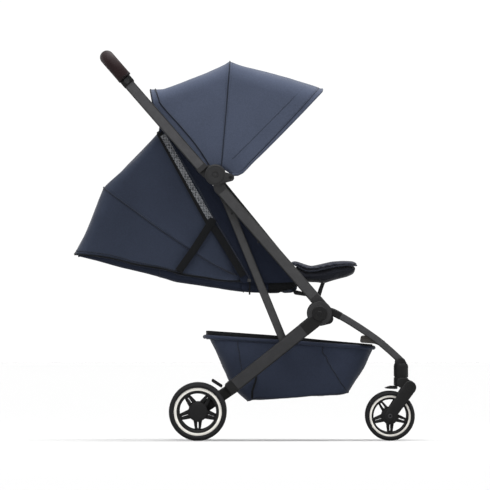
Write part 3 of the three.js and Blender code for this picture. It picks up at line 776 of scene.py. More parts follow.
def build_grip():
    stations = [
        (830.6, 179), (846, 179), (864, 177), (882, 168), (893, 154), (899.5, 136), (903.4, 110), (904, 60),
    ]
    half = []
    for t, y in stations:
        x, z = on_tube(t, 20.5)
        half.append((x, y, z))
    path = smooth_line(half + [(x, -y, z) for x, y, z in half[::-1]], 150, 6)
    radius = 19.2
    rope("handle_grip_skin", path, radius, GRIP, sides=40)
    ahead = np.array([AHEAD[0], 0, AHEAD[1]])
    run = unit(np.gradient(path, axis=0))
    under = unit(np.cross(run, ahead))
    seam = path - under * (radius - 0.2) * np.sign(under[:, 2:3] + 1e-9)
    rope("grip_seam", seam[6:-6], 0.7, GRIP, sides=6)
    for index, at in (("L", 1), ("R", -2)):
        centre, direction = path[at], run[at]
        side = unit(np.cross(direction, [0, 1, 0]))
        other = np.cross(direction, side)
        loop = [centre + side * a + other * b for a, b in circle((0, 0), radius + 0.1, 48)]
        rope(f"grip_end_{index}", loop, 1.1, HANDLE_BLACK, closed=True)


def build_rear_leg(side, sign):
    top, end = np.array(REAR_LEG_TOP), np.array(REAR_LEG_END)
    run = unit(end - top)
    across = np.array([-run[1], run[0]])
    slab(
        f"rear_hinge_skin_{side}", circle(LOWER, 32.8, 96), sign * 190.2, sign * 206.4,
        (HINGE, "rear_legs", "dark_plastic"), edge=1.0,
    )
    bar(
        f"rear_sleeve_{side}", top - run * 54, top - run * 0.2, sign * REAR_Y, 36.6, 16.6, 5,
        (BLACK, "rear_legs", "dark_plastic"), end=0.6,
    )
    bar(
        f"rear_leg_skin_{side}", top - run * 2.5, end + run * 2.5, sign * REAR_Y, 35.6, 16, 6,
        (LEG_PAINT, "rear_legs", "grey_metal"),
    )
    lathe(
        f"strut_boss_{side}", [(0, 191), (9, 191), (9, 160.4), (4.6, 159.6), (4.6, 148.8), (0, 148.4)],
        STRUT_FOOT, 0, sign, (STEEL, "rear_legs", "dark_plastic"), count=40,
    )

    def along(d, w):
        return tuple(end + run * d + across * w)

    block = rounded([along(0.4, -19), along(25, -17.2), along(25, 17.2), along(0.4, 19)], 5)
    slab(f"rear_foot_skin_{side}", block, sign * 164.2, sign * 207.6, REAR_BLACK, edge=2.4)
    slab(
        f"rear_foot_arm_{side}", link((-42, 136), 15, REAR_AXLE, 15), sign * 164.4, sign * 188.2, REAR_BLACK,
        edge=1.8,
    )
    lathe(
        f"rear_pin_{side}", [(0, 222), (5, 222), (6, 221), (6, 187), (0, 187)], REAR_AXLE, 0, sign,
        (STEEL, "rear_legs", "black_plastic"), count=32,
    )
    slab(
        f"brake_pedal_skin_{side}", link((-87.6, 162.4), 3.4, (-64.7, 147.7), 3.4), sign * 167.2,
        sign * 186.8, (BLACK, f"brake_pedal_{side}", "black_plastic"), edge=1.2,
    )


def build_strut(side, sign):
    slab(
        f"strut_skin_{side}", link(STRUT_HEAD, 11, STRUT_FOOT, 11), sign * 150.7, sign * 159.3,
        (TUBE_PAINT, "struts", "grey_metal"), edge=3.0,
    )
    bolt(
        f"strut_screw_{side}", (-35, 616), sign * 159.3, sign, 2.8, (BLACK, "struts", "grey_metal"), rise=0.9,
    )


def build_front_leg(side, sign):
    line = smooth_line(
        [
            (222, 352.5), (239, 349), (277.4, 327.8), (319.3, 301.4), (359.9, 273.1), (397.1, 241.5),
            (421, 219),
        ],
        60, 8,
    )
    loft(
        f"front_leg_skin_{side}", line, box_section(19, 18, 5), sign * FRONT_Y,
        (FRONT_PAINT, "front_legs", "grey_metal"),
    )
    sleeve = line[line[:, 0] < 262]
    loft(f"front_sleeve_{side}", sleeve, box_section(20.6, 18.8, 5), sign * FRONT_Y, FRONT_DARK)
    slab(
        f"front_leg_disc_{side}", hull(circle(LOWER, 34, 96) + circle((225, 331), 15)), sign * 150.2,
        sign * 167.8, FRONT_DARK, edge=1.6,
    )
    profile = [
        (14.5, 171.6), (17.9, 172.2), (18.7, 174), (18.7, 198), (18.3, 204), (16.6, 208), (12.0, 210.6),
    ]
    upright(f"front_column_skin_{side}", profile, SWIVEL_X, sign * FRONT_Y, FRONT_BLACK)
    slab(
        f"front_elbow_{side}", link((422.3, 212), 14, (426.3, 200), 15.6), sign * 147.4, sign * 170.6,
        FRONT_BLACK, edge=4.2,
    )
    rope(
        f"column_ring_{side}", [(a, b, 178) for a, b in circle((SWIVEL_X, sign * FRONT_Y), 18.8, 48)], 0.5,
        FRONT_BLACK, closed=True, sides=6,
    )


def build_footrest():
    outline = rounded(
        [(313, 266), (352, 263), (378, 252), (396, 246), (399, 251), (376, 272), (345, 286), (316, 284)], 5,
    )
    step = slab("footrest_skin", outline, -149.4, 149.4, (STEP, "front_legs", "dark_plastic"), edge=1.6)
    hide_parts("front_footrest")
    for k, x in enumerate(np.linspace(350, 388, 5)):
        z = np.interp(x, [345, 376, 399], [286, 272, 251])
        rope(
            f"footrest_rib_{k}", [(x, y, z - 0.1) for y in np.linspace(-128, 128, 12)], 1.1, FRONT_DARK,
            sides=8,
        )


def build_caster(side, sign):
    body = f"caster_{side}"
    mid = sign * FRONT_Y
    top = (447.2, 144.4)
    black, steel = (BLACK, body, "black_plastic"), (STEEL, body, "black_plastic")
    for k, (y0, y1) in enumerate(((18.6, 26.8), (-26.8, -18.6))):
        arm = slab(
            f"fork_arm_{side}_{k}", link(top, 17.6, FRONT_AXLE, 14.5), mid + y0, mid + y1, black, edge=2.2,
        )
        if k == 0:
            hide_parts(f"caster_fork_{side}")
    head = hull(circle((SWIVEL_X, 157), 13) + circle(top, 16) + [(438.3, 170)])
    slab(f"fork_head_{side}", head, mid - 19, mid + 19, black, edge=2.2)
    upright(
        f"fork_neck_{side}", [(14, 147), (17.8, 147.8), (18.7, 150), (18.7, 169), (17.4, 170.6), (12, 170.8)],
        SWIVEL_X, mid, black,
    )
    lathe(
        f"fork_pin_{side}", [(0, 19.4), (6, 19.4), (6, -19.4), (0, -19.4)], FRONT_AXLE, mid, 1, steel,
        count=32,
    )
    for k, way in enumerate((1, -1)):
        bolt(f"fork_bolt_{side}_{k}", FRONT_AXLE, mid + way * 26.6, way, 6.4, steel)
        mark = [(x, mid + way * 26.7, z) for x, z in circle(top, 9.5)]
        rope(f"fork_mark_{side}_{k}", mark, 0.45, black, closed=True, sides=6)
    slab(
        f"swivel_lock_skin_{side}",
        hull(circle((410.5, 143.6), 3.6, 32) + circle((396, 144), 3.6, 32) + [(378.5, 142)]), mid - 7.8,
        mid + 7.8, (BLACK, f"swivel_lock_{side}", "black_plastic"), edge=0.9,
    )


WHEELS = {
    "rear_wheel": dict(
        axle=REAR_AXLE, r=78.5, ring=65.4, open=49.7, hub=26.4, wide=35, mid=207.5, white=(57.6, 65.2),
    ),
    "front_wheel": dict(
        axle=FRONT_AXLE, r=67.0, ring=56.3, open=45.0, hub=22.8, wide=32, mid=FRONT_Y, white=(50.2, 56.1),
    ),
}


def build_wheel(kind, side, sign):
    w = WHEELS[kind]
    body = f"{kind}_{side}"
    axle, mid, half = w["axle"], sign * w["mid"], w["wide"] / 2
    r, ring, plain = w["r"], w["ring"], (WHEEL, body, "wheel_plastic")
    tread = [
        (ring + 0.4, half - 2.4), (ring + 1.6, half - 1.0), (ring + 4.5, half - 0.2), (r - 6.4, half - 0.4),
    ]
    tread += [(r - 3.0, half - 2.6), (r - 1.0, half - 5.4), (r - 0.15, half - 8.6)]
    groove_at = (3.2, 9.0) if half > 16.5 else (2.8, 7.8)
    mid_band = []
    for g in sorted(groove_at, reverse=True):
        mid_band += [(r - 0.02, g + 1.2), (r - 1.5, g + 0.7), (r - 1.5, g - 0.7), (r - 0.02, g - 1.2)]
    profile = tread + mid_band + [(a, -b) for a, b in mid_band[::-1]] + [(a, -b) for a, b in tread[::-1]]
    lathe(f"{kind}_tyre_skin_{side}", profile, axle, mid, sign, (TYRE, body, "tyre"), count=120, sharp=40)
    face = half - 4.4
    band = w["white"]
    rim = [
        (w["open"], face - 5.5), (w["open"] + 1.0, face - 2.0), (w["open"] + 3.0, face - 0.6),
        (band[0] - 1.2, face - 0.4),
    ]
    rim += [(band[0], face - 1.2), (ring, face - 1.2)]
    profile = rim + [(a, -b) for a, b in rim[::-1]]
    lathe(f"{kind}_rim_skin_{side}", profile, axle, mid, sign, plain, count=96)
    for k, way in enumerate((1, -1)):
        white = [
            (band[0], -1.0), (band[0] + 0.4, 0.2), (band[0] + 1.4, 0.6), (band[1] - 1.4, 0.6),
            (band[1] - 0.2, 0.1), (band[1], -1.0),
        ]
        lathe(
            f"{kind}_ring_{side}_{k}", white, axle, mid + sign * way * (face - 0.9), sign * way,
            (RING, body, "wheel_plastic"), count=96,
        )
    hub = w["hub"]
    cap = [
        (0, half - 1.4), (hub * 0.55, half - 1.7), (hub * 0.86, half - 2.5), (hub * 0.96, half - 3.6),
        (hub, half - 5.4),
    ]
    back = [
        (hub, 1.5 - half), (hub - 2, 1.2 - half), (7.2, 1.2 - half), (6.4, 2.2 - half), (6.4, half - 6.5),
        (0, half - 6.5),
    ]
    lathe(f"{kind}_hub_{side}", cap + back, axle, mid, sign, plain, count=72)
    for k in range(5):
        angle = math.radians(-90 + 72 * k)
        c, s = math.cos(angle), math.sin(angle)

        def place(at, off):
            return (axle[0] + at * c - off * s, axle[1] + at * s + off * c)

        r0, r1 = hub - 3, w["open"] + 2.5
        wide = hub * 0.44
        outline = [place(r0, -wide), place(r1, -wide * 0.62), place(r1, wide * 0.62), place(r0, wide)]
        slot_end = w["open"] - 1.5
        slot = [
            place(hub + 2, -1.9), place(slot_end - 2, -1.9), place(slot_end, 0), place(slot_end - 2, 1.9),
            place(hub + 2, 1.9), place(hub, 0),
        ]
        slab(
            f"{kind}_spoke_{side}_{k}", outline, mid - sign * 4, mid + sign * 7, plain, edge=1.3,
            holes=[rounded(slot, 1.2, 4)],
        )


def build_small_parts():
    lathe(
        "rear_axle_skin", [(0, 163.5), (7.4, 163.5), (8, 162.8), (8, -162.8), (7.4, -163.5), (0, -163.5)],
        REAR_AXLE, 0, 1, REAR_BLACK, count=40,
    )
    lathe(
        "seat_crossbar_skin", [(0, 169.5), (7.4, 169.5), (8, 168.8), (8, -168.8), (7.4, -169.5), (0, -169.5)],
        SEAT_CROSSBAR, 0, 1, FRAME_HINGE, count=40,
    )
    for node in ("canopy_rear_bow", "canopy_mid_bow", "canopy_front_bow"):
        bevelled(node, 0.8, BLACK, "black_plastic")


for name, way in SIDES:
    build_main_tubes(name, way)
    build_handle_side(name, way)
    build_rear_leg(name, way)
    build_strut(name, way)
    build_front_leg(name, way)
    build_caster(name, way)
    for wheel_kind in WHEELS:
        build_wheel(wheel_kind, name, way)
build_grip()
build_footrest()
build_small_parts()


# ---- Sewn surfaces ----
def arch(side, top, low, high, corner, crown=0.0):
    """Line of a fabric arch from its right foot over the top to its left foot: up a side, round the
    corner and across, its half width growing from low to high."""
    last, top = np.array(side[-1], float), np.array(top, float)
    spring = top + (last - top) * min(corner / np.linalg.norm(top - last), 0.9)
    climb = smooth_line([*side, tuple(spring)], 19, 1)
    points = [(x, high if k == 18 else low + (high - low) * k / 18, z) for k, (x, z) in enumerate(climb)]
    for k in range(1, 9):
        angle = k * math.pi / 16
        x, z = spring + (top - spring) * math.sin(angle)
        points.append((x, high - corner * (1 - math.cos(angle)), z))
    for k in range(1, 8):
        y = (high - corner) * (1 - k / 7)
        points.append((top[0], y, top[1] + crown * (1 - (y / (high - corner)) ** 2)))
    right = [(x, -y, z) for x, y, z in points]
    return np.array(right + points[:-1][::-1])


def span(first, last, rows, sag):
    """Grid between two arches; sag(s, u) is how far the cloth hangs in, in mm."""
    s = np.linspace(0, 1, rows)[:, None, None]
    grid = first[None] * (1 - s) + last[None] * s
    columns = grid.shape[1]
    amount = [sag(i / (rows - 1), j / (columns - 1)) for i in range(rows) for j in range(columns)]
    return grid - grid_normals(grid) * np.reshape(amount, (rows, columns, 1))


def on_grid(grid, s, u, lift):
    """Point of a grid at fractions s along its rows and u along its columns, lifted off the cloth."""
    i, j = s * (grid.shape[0] - 1), u * (grid.shape[1] - 1)
    i0, j0 = min(int(i), grid.shape[0] - 2), min(int(j), grid.shape[1] - 2)
    a, b = i - i0, j - j0
    near, far = (grid[i0, c] * (1 - a) + grid[i0 + 1, c] * a for c in (j0, j0 + 1))
    p = near * (1 - b) + far * b
    normal = np.cross(grid[i0 + 1, j0] - grid[i0, j0], grid[i0, j0 + 1] - grid[i0, j0])
    size = np.linalg.norm(normal)
    return p + normal / size * lift if size > 1e-9 else p


def grid_line(grid, route, count, lift):
    """Line over a grid through (s, u) stations."""
    return np.array([on_grid(grid, s, u, lift) for s, u in resample(route, count)])


def across(grid, s, count, lift, trim=0.0):
    """Line over a grid at fraction s of its rows, from side to side."""
    return grid_line(grid, [(s, trim), (s, 1 - trim)], count, lift)


def stitches(name, line, look, pitch=4.2, length=2.8, radius=0.42):
    """Row of short sewn threads along a line, as one piece."""
    steps = np.r_[0, np.cumsum(np.linalg.norm(np.diff(line, axis=0), axis=1))]
    points, faces = [], []
    for start in np.arange(0, steps[-1] - length, pitch):
        ends = [
            np.array([np.interp(at, steps, line[:, k]) for k in range(3)])
            for at in (start, start + length / 2, start + length)
        ]
        run = unit(ends[2] - ends[0])
        side = unit(np.cross(run, [0.31, 0.87, 0.39]))
        other = np.cross(run, side)
        base = len(points)
        for p, r in zip(ends, (radius * 0.5, radius, radius * 0.5)):
            points += [p + side * a + other * b for a, b in circle((0, 0), r, 4)]
        faces += [tuple(base + corner for corner in face) for face in grid_faces(3, 4, wrap=True)]
        faces += [(base, base + 1, base + 2, base + 3), (base + 11, base + 10, base + 9, base + 8)]
    return settle(fix_normals(new_object(name, points, faces)), look)


def side_line(grid, points, sign, lift, count=70):
    """Line through (x, z) points, laid on the left or right half of a cloth."""
    keep = grid[..., 1] * sign > 20
    places, normals = grid[keep], grid_normals(grid)[keep]
    line = []
    for x, z in resample(points, count):
        gap = (places[:, 0] - x) ** 2 + (places[:, 2] - z) ** 2
        near = np.argsort(gap)[:4]
        weight = 1 / (gap[near] + 1)
        weight /= weight.sum()
        line.append(weight @ (places[near] + normals[near] * lift))
    return smooth_line(line, count, 4)


def fade(value, low, high):
    t = min(1.0, max(0.0, (value - low) / (high - low)))
    return t * t * (3 - 2 * t)


def with_rear_canopy(*objs):
    for obj in objs:
        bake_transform(obj)


def with_front_canopy(*objs):
    for obj in objs:
        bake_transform(obj)


def canopy_arch(side, top, crown=3.0):
    return arch(side, top, CANOPY_LOW, CANOPY_HIGH, CANOPY_CORNER, crown)


def build_canopy():
    rear = arch(
        [(-104, 738), (-163, 806), (-226, 877), (-249, 907)], (-257, 951), 153, CANOPY_HIGH, CANOPY_CORNER,
        3.0,
    )
    middle = canopy_arch([(-64, 741), (-50.5, 900)], (-41, 1028))
    tip = canopy_arch(
        [(-36, 722), (-17, 719), (-2, 732), (14, 752), (40, 776), (103, 839), (166, 904)], (209.4, 951),
    )

    def high(u):
        return fade(1 - abs(2 * u - 1), 0.5, 0.85)

    def sag(stations, depths, side):
        """Sag of the cloth: depths at stations over the top, and one bulge of its own at the sides."""

        def at(s, u):
            return np.interp(s, stations, depths) * high(u) + side * math.sin(math.pi * s) * (1 - high(u))

        return at

    rear_sag = sag([0, 0.15, 0.4, 0.7, 0.94, 1], [0, 10.5, 10.5, 8.5, 3.5, 0], 2.5)
    front_sag = sag([0, 0.12, 0.35, 0.65, 0.9, 1], [0, 1.5, -0.5, -4.2, -2.5, 0], 2)
    back = wrinkle(span(rear, middle, 44, rear_sag), 2.0, 85, 3, (1, 1, 0.6))
    back = wrinkle(back, 0.6, 26, 4)
    front = wrinkle(span(middle, tip, 48, front_sag), 2.0, 95, 5, (1, 1, 0.6))
    front = wrinkle(front, 0.6, 28, 6)
    front[0] = back[-1]
    rear_cloth = cloth_layer("canopy_rear_cloth", back, 1.8, CANOPY_CLOTH)
    front_cloth = cloth_layer("canopy_front_cloth", front, 1.8, CANOPY_CLOTH)
    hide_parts("canopy_rear_panel")
    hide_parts("canopy_front_panel")

    welt = [(0.3, 0.0), (0.17, 0.15), (0.09, 0.27), (0.06, 0.36), (0.055, 0.46)]

    pieces = [
        rope("canopy_rear_piping", across(back, 0.0, 130, -0.4), 2.1, CANOPY_PIPING),
        rope(
            "canopy_rear_piping_inner", grid_line(back, welt + [(s, 1 - u) for s, u in welt[::-1]], 150, 0.8),
            2.0, CANOPY_PIPING,
        ),
        stitches("canopy_rear_stitch", across(back, 0.045, 130, 0.2), CANOPY_STITCH),
        stitches("canopy_mid_stitch_back", across(back, 0.965, 130, 0.2), CANOPY_STITCH),
    ]
    with_rear_canopy(rear_cloth, *pieces)
    fore = [
        rope("canopy_front_piping", across(front, 1.0, 130, -0.6), 3.2, CANOPY_CLOTH),
        rope("canopy_hem_groove", across(front, 0.958, 130, -0.35), 1.1, CANOPY_PIPING, sides=6),
        stitches("canopy_hem_stitch", across(front, 0.94, 130, 0.2), CANOPY_STITCH),
        stitches("canopy_mid_stitch_front", across(front, 0.032, 130, 0.2), CANOPY_STITCH),
    ]
    for label, sign in SIDES:
        line = side_line(front, [(-36, 762), (60, 858), (163, 962)], sign, 0.1)
        fore.append(rope(f"canopy_side_seam_{label}", line, 0.5, CANOPY_PIPING, sides=6))
    with_front_canopy(front_cloth, *fore)
    rope("canopy_mid_piping", across(back, 1.0, 130, 0.3), 1.4, (PIPING, "canopy_mid", "canopy_fabric"))
    declare_sheet(back)
    declare_sheet(front)


def declare_sheet(grid):
    """Works out a sheet's flat width and length from the grid that it was built on, and keeps neither."""
    across = np.linalg.norm(np.diff(grid, axis=1), axis=2).sum(1).max()
    along = np.linalg.norm(np.diff(grid, axis=0), axis=2).sum(0).max()


# ---- Rear hood and reclined back: each line is its side points (x, z) upwards, then its top ----
HOOD_FRONT = ([(2, 447), (-96, 574), (-225, 820)], (-236, 838))
HOOD_SEAM = ([(-1, 443), (-54, 459), (-150, 518), (-245, 583), (-352, 661)], (-382, 685))
HOOD_ZIP = (
    [(-2, 432), (-60, 434), (-136, 446), (-181, 452), (-207, 464), (-299, 478), (-348, 493), (-394, 501)],
    (-463.8, 505),
)
HOOD_BAND = ([(-96, 586), (-166, 714), (-232, 834)], (-233, 840))


def hood_arch(line):
    return arch(line[0], line[1], HOOD_SIDE, HOOD_SIDE, HOOD_CORNER, 2.0)


def build_hood():
    front, seam, zipper = hood_arch(HOOD_FRONT), hood_arch(HOOD_SEAM), hood_arch(HOOD_ZIP)

    def slack(s, u):
        edge = fade(1 - abs(2 * u - 1), 0.1, 0.6)
        return 3.5 * math.sin(math.pi * s) * edge + 4.5 * math.sin(math.pi * s) ** 0.7 * (1 - edge)

    low = wrinkle(span(zipper, seam, 40, slack), 5.5, 90, 11, (1.3, 1, 0.4))
    high = wrinkle(span(seam, front, 40, slack), 6.5, 95, 12, (1.3, 1, 0.4))
    for grid, seed in ((low, 13), (high, 14)):
        grid[:] = wrinkle(grid, 0.7, 30, seed)
    high[0] = low[-1]
    both = np.concatenate([low, high[1:]])
    keep_clear(both, 140.0)
    cloth = cloth_layer("hood_cloth_skin", both, 1.8, (HOOD, "frame", "hood_fabric"))
    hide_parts("rear_hood")
    seam_at = 39 / 78
    pieces = [
        rope("hood_seam_piping", across(both, seam_at, 150, 0.4), 1.7, HOOD_PIPING),
        stitches(
            "hood_seam_stitch", across(both, seam_at + 0.022, 150, 0.2), (STITCH, "frame", "hood_fabric"),
        ),
        strap(
            "hood_band", arch(*HOOD_BAND, SEAT_SIDE + 3.6, SEAT_SIDE + 1.2, 34, 2.0), (0.8, 0, 0.6), 16.5,
            1.4, HOOD_WEBBING,
        ),
        rope("hood_zip_cord", across(both, 0, 170, 0.2), 1.7, HOOD_WEBBING, flat=0.7),
        rope("hood_zip_cord_upper", across(both, 0.028, 170, 0.1), 1.1, HOOD_PIPING),
    ]
    teeth = stitches(
        "hood_zip_teeth", across(both, 0.012, 200, 0.5, 0.01), (BLACK, "frame", "hood_fabric"), pitch=2.6,
        length=1.5, radius=0.7,
    )
    pieces.append(teeth)
    for label, sign in SIDES:
        y = sign * (SEAT_SIDE + 3.6)
        lower = [(-98, y, 592), (-73, y, 562), (-40, y, 508), (-4, y, 447)]
        pieces.append(
            strap(
                f"hood_webbing_low_{label}", smooth_line(lower, 30, 2), (0.86, 0, 0.5), 20, 1.3, HOOD_WEBBING,
            )
        )
        strap_y = sign * (SEAT_SIDE + 5)
        recline = [
            (-86, strap_y, 602), (-101, strap_y, 577), (-136, strap_y - sign, 522),
            (-180, strap_y - sign * 2.4, 460),
        ]
        pieces.append(
            strap(
                f"recline_strap_{label}", smooth_line(recline, 30, 2), (0.82, 0, -0.57), 21, 1.6,
                HOOD_WEBBING,
            )
        )
        hem = [(-190, strap_y - sign * 2.3, 464), (-170, strap_y - sign * 2.3, 455)]
        pieces.append(rope(f"recline_hem_{label}", resample(hem, 8), 1.6, HOOD_WEBBING))
        puller = [(12, y, 434), (13, y + sign * 0.6, 420), (12.4, y + sign * 0.4, 396)]
        pieces.append(strap(f"zip_puller_{label}", resample(puller, 12), (1, 0, 0), 4.6, 1.4, HOOD_WEBBING))
        pieces.append(
            slab(
                f"zip_slider_{label}", rounded([(6, 431), (17, 431), (16, 440), (7, 440)], 2), y - 1.6,
                y + 1.6, (STEEL, "frame", "hood_fabric"), edge=0.6,
            )
        )
    fold_flat(cloth, *pieces)
    declare_sheet(both)


def keep_clear(grid, limit):
    """Holds a grid's cloth inside |y| = limit."""
    np.clip(grid[..., 1], -limit, limit, out=grid[..., 1])


def tray_station(x):
    foot = np.interp(x, [-450, -405, -329, -239, -190, -54, -2], [500, 489, 468, 446, 431, 410, 403])
    top = np.interp(
        x, [-452, -394, -348, -299, -207, -181, -136, -60, -2], [506, 499, 491, 476, 462, 450, 444, 432, 431],
    )
    return foot, top


def trough(x, top, foot, edge, corner, turns, middle):
    """Open section of a hanging cloth at x: down one side, round, along its foot and up the other side."""
    half = [(edge, top), (edge, middle), (edge, foot + corner)]
    half += [(edge - corner * (1 - math.cos(a)), foot + corner * (1 - math.sin(a))) for a in turns]
    half += [(y, foot) for y in np.linspace(edge - corner, 0, 12)[1:]]
    return [(x, y, z) for y, z in half] + [(x, -y, z) for y, z in half[:-1][::-1]]


def build_tray():
    """The back's outer shell: a shallow tray of cloth hanging from the zip line."""
    rows, grid = np.linspace(-452, -4, 60), []
    for x in rows:
        foot, top = tray_station(x)
        deep = max(top - foot, 3.0)
        corner = min(deep * 0.8, 16)
        turns = [k * math.pi / 10 for k in range(1, 6)]
        grid.append(trough(x, top, foot, TRAY_SIDE - 0.2, corner, turns, top - (deep - corner) * 0.5))
    grid = wrinkle(np.array(grid), 1.6, 70, 21)
    keep_clear(grid, 134.6)
    tray = cloth_layer("backrest_tray_skin", grid, 1.8, (TRAY, "backrest", "hood_fabric"))
    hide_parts("backrest_shell")
    pieces = []
    for k, s in enumerate((0.0, 1.0)):
        pieces.append(rope(f"tray_end_piping_{k}", across(grid, s, 90, 0.2, 0.02), 1.5, TRAY_PIPING))
    for label, u in (("L", 0.0), ("R", 1.0)):
        pieces.append(
            rope(f"tray_edge_piping_{label}", grid_line(grid, [(0, u), (1, u)], 90, 0.1), 1.5, TRAY_PIPING)
        )
    band_at = (-231 + 452) / 448
    pieces.append(rope("tray_cross_seam", across(grid, band_at, 110, 0.2, 0.01), 1.0, TRAY_PIPING))
    fold_flat(tray, *pieces)
    declare_sheet(grid)


# ---- Side panels of the seat ----
def build_seat_sides():
    front_edge = resample([on_tube(672, 9), on_tube(400, 9), on_tube(112, 12)], 70)
    rear_edge = resample([(-234, 842), (-104, 590), (-8, 427), (64, 427), on_tube(106, 8)], 70)
    for label, sign in SIDES:
        rows = np.array(
            [
                [(x, sign * (SEAT_SIDE + 2.2), z) for x, z in resample([a, b], 24)]
                for a, b in zip(front_edge, rear_edge)
            ]
        )
        if sign < 0:
            rows = rows[:, ::-1]
        s, u = np.linspace(0, 1, 70)[:, None], np.linspace(0, 1, 24)[None]
        fan = np.sin(2 * math.pi * (2.6 * u + 0.5 * s))
        crease = 1.7 * fan * np.sin(math.pi * np.minimum(s * 1.2, 1)) * np.sin(math.pi * u)
        rows[..., 1] += sign * (crease - 0.6)
        rows = wrinkle(rows, 1.0, 55, 31, (1, 1, 0.5))
        panel = cloth_layer(f"seat_side_skin_{label}", rows, 1.4, (PANEL, "frame", "hood_fabric"))
        y = sign * (SEAT_SIDE + 3.8)
        edge = [(-218, y, 838), (-124, y, 680), (-85, y, 604), (-57, y, 558), (-20, y, 496), (14, y, 438)]
        pieces = [rope(f"seat_side_piping_{label}", smooth_line(edge, 80, 2), 1.7, HOOD_PIPING)]
        strip = [(-223, y, 830), (-186, y, 764), (-146, y, 692), (-93, y, 600)]
        pieces.append(
            strap(
                f"vent_strip_{label}", smooth_line(strip, 40, 2), (0.86, 0, 0.5), 15, 1.0,
                (MESH, "frame", "hood_fabric"),
            )
        )
        fold_flat(panel, *pieces)
        declare_sheet(rows)


# ---- Basket ----
def basket_loop(v, columns):
    """Closed loop of the basket at height fraction v, 0 at its floor and 1 at its rim."""
    at = [0, 0.12, 0.31, 0.92, 1]
    back = np.interp(v, at, [6, -18, -45, -93, -96]), np.interp(v, at, [107, 128, 164, 270, 283])
    at = [0, 0.54, 1]
    front = np.interp(v, at, [281.5, 324, 349]), np.interp(v, at, [131, 197, 253.5])
    half = BASKET_SIDE - 10 * (1 - v) ** 2
    points = []
    for k in range(columns):
        angle = 2 * math.pi * k / columns
        c, s = math.cos(angle), math.sin(angle)
        a = math.copysign(abs(c) ** 0.42, c)
        b = math.copysign(abs(s) ** 0.26, s)
        f = (a + 1) / 2
        x = back[0] + (front[0] - back[0]) * f
        z = back[1] + (front[1] - back[1]) * f
        z += v * 4 * (1 - abs(a)) - (1 - v) * 5 * (1 - a * a) * (1 if f < 0.6 else 0.6)
        z -= v * 5 * math.sin(math.pi * f) * (1 - 0.3 * abs(b))
        z += (1 - v) ** 2 * 9 * (1 - f) * fade(x, 8, 34)
        points.append((x, half * b, z))
    return points


def build_basket():
    levels = np.linspace(0, 1, 34)
    columns = 120
    loops = [basket_loop(v, columns) for v in levels]
    floor_rows = []
    base = np.array(loops[0])
    for f in np.linspace(0.0, 0.86, 7):
        shrunk = base.copy()
        shrunk[:, 1] *= f
        centre = base[:, 0].mean()
        shrunk[:, 0] = centre + (base[:, 0] - centre) * (0.5 + 0.5 * f)
        shrunk[:, 2] = np.interp(shrunk[:, 0], [0, 281.5], [110, 131]) - 3
        floor_rows.append(shrunk)
    grid = np.array([*floor_rows, *loops])
    closed = np.concatenate([grid, grid[:, :1]], axis=1)
    closed = wrinkle(closed, 4.0, 85, 41, (0.8, 1, 1.2))
    closed = wrinkle(closed, 1.0, 30, 42)
    closed[:, -1] = closed[:, 0]
    start = len(floor_rows)
    for i in range(start, closed.shape[0]):
        v = levels[i - start]
        for j in range(closed.shape[1]):
            x, y = closed[i, j, :2]
            belly = 5.5 * math.sin(math.pi * v) * fade(abs(y), 60, 120)
            pocket = 7 * fade(35 - x, 0, 30) * fade(0.45 - v, 0, 0.3) * fade(abs(y), 60, 120)
            closed[i, j, 1] += math.copysign(belly + pocket, y)
    cloth = cloth_layer("basket_skin", closed[:, ::-1], 2.0, BASKET_CLOTH)
    walls = closed[start:]

    rim = walls[-1][:-1].copy()
    behind = np.clip((-40 - rim[:, 0]) / 60, 0, 1)
    rim[:, 0] -= 13 * behind
    rim[:, 2] -= 1.5
    pieces = [rope("basket_rim", rim, 5.6, BASKET_CLOTH, sides=12, closed=True)]
    inner = []
    for rise, inset in ((-5, 4.5), (3, 3.5), (11, 3.0)):
        loop = np.concatenate([rim, rim[:1]])
        loop[:, 1] -= np.sign(loop[:, 1]) * inset * np.minimum(np.abs(loop[:, 1]) / 60, 1)
        loop[:, 0] -= np.sign(loop[:, 0] - 128) * inset * np.minimum(np.abs(loop[:, 0] - 128) / 150, 1)
        loop[:, 2] += rise * np.interp(loop[:, 0], [-110, 60, 340], [1.45, 1.4, 0.8])
        inner.append(loop[::-1])
    pieces.append(cloth_layer("basket_lining_band", np.array(inner), 2.2, BASKET_WEBBING, inside=WEBBING))
    pieces.append(
        rope(
            "basket_rim_stitch",
            np.array([p * np.array([1, 1.008, 1]) - np.array([0, 0, 6.5]) for p in walls[-1][:-1]]), 0.8,
            BASKET_PIPING, sides=6, closed=True,
        )
    )
    pieces.append(
        rope("basket_floor_piping", walls[0][:-1] * np.array([1, 1.004, 1]), 1.3, BASKET_PIPING, closed=True)
    )
    for label, sign in SIDES:
        def seam(name, top_x, low_x, low_v, radius, material):
            line = []
            for t in np.linspace(0, 1, 40):
                v = 1 - t * (1 - low_v)
                row = walls[int(round(v * (len(levels) - 1)))]
                want = top_x + (low_x - top_x) * t ** 1.2
                j = min(
                    range(columns),
                    key=lambda q: abs(row[q, 0] - want) + (0 if row[q, 1] * sign > 40 else 1e4),
                )
                line.append(row[j] + np.array([0, sign * 0.3, 0]))
            return rope(
                name, smooth_line(line, 40, 6), radius, (material, "rear_legs", "basket_fabric"), sides=8,
            )

        pieces.append(seam(f"basket_seam_back_{label}", -21, -7, 0.4, 1.2, PIPING))
        pieces.append(seam(f"basket_seam_front_{label}", 205, 279, 0.02, 1.4, PIPING))
        zip_line = [
            (31, sign * 136.5, 174), (28, sign * 137, 158), (20, sign * 136, 135), (19, sign * 130, 114),
        ]
        pieces.append(
            strap(
                f"basket_zip_{label}", smooth_line(zip_line, 24, 2), (0.97, 0, 0.2), 5.5, 1.6, BASKET_WEBBING,
            )
        )
    for obj in (cloth, *pieces):
        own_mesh(obj)
    declare_sheet(closed)


